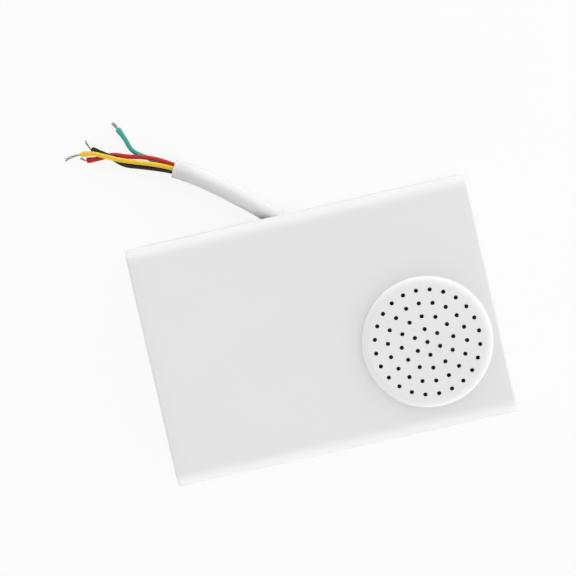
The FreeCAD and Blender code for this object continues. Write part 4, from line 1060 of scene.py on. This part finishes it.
brown, dark, orange, gold = (0.12, 0.035, 0.01), (0.01, 0.01, 0.01), (0.55, 0.13, 0.01), (0.45, 0.30, 0.07)
bands = [(-2.1, 0.28, brown), (-1.0, 0.28, dark), (0.0, 0.28, orange), (2.1, 0.28, gold)]
resistor_y, resistor_half = 10.0, 3.15
tan_body = banded("resistor_body", (0.58, 0.43, 0.22), resistor_y, resistor_half, bands)
row_of_parts(
    "resistors", tan_body, range(-37, -16, 4), resistor_y, radius=1.15, half=resistor_half,
    half_wire=4.6, waist=0.84)
diode_y, diode_half = -27.0, 2.5
pale_band = (1.6, 0.35, (0.6, 0.6, 0.6))
dark_body = banded("diode_body", (0.015, 0.015, 0.016), diode_y, diode_half, [pale_band], 0.4)
row_of_parts(
    "diodes", dark_body, range(-34, -18, 5), diode_y, radius=1.3, half=diode_half,
    half_wire=4.0, waist=1.0)

# %% [markdown]
# ### Headers and inner wires
# The wire headers are ivory nylon. The four cores go on from the sheath to their header, and two thin
# leads go from the loudspeaker's lugs to theirs, all in the same coloured PVC as outside.

# %% Nylon and wires
nylon = grained("header_nylon", (0.74, 0.71, 0.60), 0.45, scale=1400.0, strength=0.15)[0]
for node in ("cable_header", "speaker_header"):
    dressed(node, nylon, 0.12)
for colour in core_colours:
    inner = grained(f"inner_{colour}", core_colours[colour], 0.32, scale=1500.0, strength=0.08)[0]
    dressed(f"inner_core_{colour}", inner, degrees=60)
    if colour in ("black", "red"):
        dressed(f"speaker_lead_{colour}", inner, degrees=60)

# %% [markdown]
# ### The loudspeaker
# From the back: a plated yoke and top plate round a grey ferrite ring, a painted steel basket, a
# corrugated cloth spider dyed yellow, a copper coil, a pressed paper cone with a soft roll, and a
# card gasket that seals it to the cover. The rings in the paper and the copper's turns follow the
# distance from the speaker's own axis, or the height.

# %% Speaker finishes
def ringed(name, colour, roughness, pitch, depth, metallic=0.0, by_height=False):
    """Relief in rings: a sine of the distance from the axis, or of the height, once per pitch."""
    finish, tree, shader = grained(name, colour, roughness, metallic, scale=1500.0, strength=0.1)
    far = part_of(tree, "Z") if by_height else away_from(tree, grille_centre)
    wave = maths("SINE", maths("MULTIPLY", far, 2 * math.pi / (pitch * MM)))
    relief(shader, wave, 0.6, depth)
    return finish


basket_paint = grained("basket_paint", (0.048, 0.052, 0.056), 0.42, scale=1100.0, strength=0.15)[0]
ferrite = grained("ferrite", (0.028, 0.028, 0.031), 0.72, scale=1600.0, strength=0.5)[0]
plated = ringed("plated_steel", (0.62, 0.62, 0.60), 0.3, pitch=0.5, depth=0.004, metallic=1.0)
card = grained("gasket_card", (0.36, 0.31, 0.23), 0.9, scale=1300.0, strength=0.6)[0]
paper = ringed("cone_paper", (0.36, 0.36, 0.35), 0.85, pitch=1.6, depth=0.05)
roll = ringed("surround_cloth", (0.24, 0.24, 0.235), 0.7, pitch=0.6, depth=0.01)
copper = ringed(
    "coil_copper", (0.62, 0.24, 0.10), 0.3, pitch=0.16, depth=0.03, metallic=1.0, by_height=True)
cap_felt = grained("dust_cap_felt", (0.40, 0.40, 0.39), 0.95, scale=2500.0, strength=0.6)[0]


def woven_spider():
    """Resin-dipped cloth: two waves that cross at right angles make the threads."""
    finish, tree, shader = grained("spider_cloth", (0.42, 0.25, 0.055), 0.8, scale=1200.0, strength=0.2)
    threads = []
    for turn in (0.6, 0.6 + math.pi / 2):
        turned = node_of(tree, "ShaderNodeMapping", Rotation=(0.0, 0.0, turn), Vector=coordinates(tree))
        wave = node_of(tree, "ShaderNodeTexWave", Scale=900.0, Vector=turned.outputs["Vector"])
        threads.append(wave.outputs["Fac"])
    relief(shader, maths("MAXIMUM", *threads), 0.5, 0.05)
    return finish


dressed("speaker_basket", basket_paint, 0.05)
dressed("speaker_top_plate", plated, 0.12)
dressed("speaker_yoke", plated, 0.12)
dressed("speaker_magnet", ferrite, 0.25)
dressed("speaker_gasket", card, 0.06)
dressed("speaker_cone", paper, degrees=30)
dressed("speaker_surround", roll, degrees=50)
dressed("speaker_spider", woven_spider(), degrees=50)
dressed("voice_coil", copper, degrees=30)
dressed("dust_cap", cap_felt, degrees=50)
strip_level = 20.19
finish, tree, shader = grained("terminal_strip", (0.17, 0.078, 0.028), 0.6, scale=1500.0)
overlaid(shader, below_level(tree, strip_level), tin)
dressed("speaker_terminals", finish, 0.05)

# %% [markdown]
# ## Floor, light and background
# The object stands on a plain pale floor in a bright tent. The tent is darker overhead than at the
# sides, as when the lamps stand round the table, so level faces come out a touch darker than the
# rounded edges. Its strength in the direction (x, y, z) is
# horizon (1 - z) ** 2 (1 + left min(x, 0) - right max(x, 0) + long |y|) + zenith, so it is brightest along
# the box's two long sides and dim on the left. One large lamp at the upper right adds the soft shadow
# at the cap's lower left. The floor throws back less light than it shows to the camera, so that the
# white walls next to it keep their shading.

# %% Floor
def blended(share, first, second):
    """The first shader where the share is nought, and the second where it is one."""
    blend = node_of(share.id_data, "ShaderNodeMixShader", Fac=share)
    connect(first, blend.inputs[1])
    connect(second, blend.inputs[2])
    return blend.outputs["Shader"]


def plain_floor():
    """Pale matt card for the object's light, mixed with plain white where the camera looks at it."""
    finish, tree, shader = shader_of("pale_floor", (0.93, 0.93, 0.93), 0.9)
    camera_ray = node_of(tree, "ShaderNodeLightPath").outputs["Is Camera Ray"]
    card = mixed(mapped(noise_of(tree, 40.0, 3.0)), (0.95, 0.95, 0.95), (0.93, 0.93, 0.93))
    fill(shader, Base_Color=mixed(camera_ray, (0.56, 0.56, 0.56), card))
    white = node_of(tree, "ShaderNodeEmission", Color=(1, 1, 1, 1), Strength=0.985)
    mostly_white = maths("MULTIPLY", camera_ray, 0.88)
    surface = blended(mostly_white, shader.outputs["BSDF"], white.outputs["Emission"])
    fill(tree.nodes["Material Output"], Surface=surface)
    return finish


reach, floor_level = 4, -0.02 * MM
corners = [(x * reach, y * reach, floor_level) for x, y in ((-1, -1), (1, -1), (1, 1), (-1, 1))]
floor_mesh = bpy.data.meshes.new("floor")
floor_mesh.from_pydata(corners, [], [(0, 1, 2, 3)])
floor = placed("floor", floor_mesh)
floor_mesh.materials.append(plain_floor())

# %% Light
horizon, zenith = 3.1, 0.48
dimmer_left, dimmer_right, brighter_long_sides = 0.9, 0.18, 0.46
world = bpy.data.worlds.new("tent")
world.use_nodes = True
scene.world = world
tree = world.node_tree
tree.nodes.clear()
way = node_of(tree, "ShaderNodeTexCoord").outputs["Generated"]
x, y, z = node_of(tree, "ShaderNodeSeparateXYZ", Vector=way).outputs
low_light = maths("MULTIPLY", maths("POWER", maths("SUBTRACT", 1.0, z), 2.0), horizon)
share = 1.0
for operation, axis, amount in (
        ("MINIMUM", x, dimmer_left), ("MAXIMUM", x, -dimmer_right), ("ABSOLUTE", y, brighter_long_sides)):
    part = maths("MULTIPLY", maths(operation, axis, 0.0), amount)
    share = maths("ADD", part, share)
strength = maths("ADD", maths("MULTIPLY", low_light, share), zenith)
tent = node_of(tree, "ShaderNodeBackground", Color=(1, 1, 1, 1), Strength=strength)
plain = node_of(tree, "ShaderNodeBackground", Color=(1, 1, 1, 1), Strength=1.0)
rays = node_of(tree, "ShaderNodeLightPath").outputs
seen = maths("MAXIMUM", rays["Is Camera Ray"], rays["Is Glossy Ray"])
seen = maths("MAXIMUM", seen, rays["Is Transmission Ray"])
surface = blended(seen, tent.outputs["Background"], plain.outputs["Background"])
node_of(tree, "ShaderNodeOutputWorld", Surface=surface)

azimuth = math.radians(32)
elevation = math.radians(35)
distance = 0.5
toward = np.array([
    math.cos(elevation) * math.cos(azimuth), math.cos(elevation) * math.sin(azimuth), math.sin(elevation)])
lamp_data = bpy.data.lights.new("side_lamp", "AREA")
lamp_data.shape = "SQUARE"
lamp_data.size = 0.25
lamp_data.energy = 0.065
lamp = placed("side_lamp", lamp_data)
lamp.location = (toward * distance).tolist()
lamp.rotation_euler = (math.pi / 2 - elevation, 0, azimuth + math.pi / 2)

# %% [markdown]
# ## Finish
# The picture uses the Standard view transform.

# %% View transform
scene.view_settings.view_transform = "Standard"
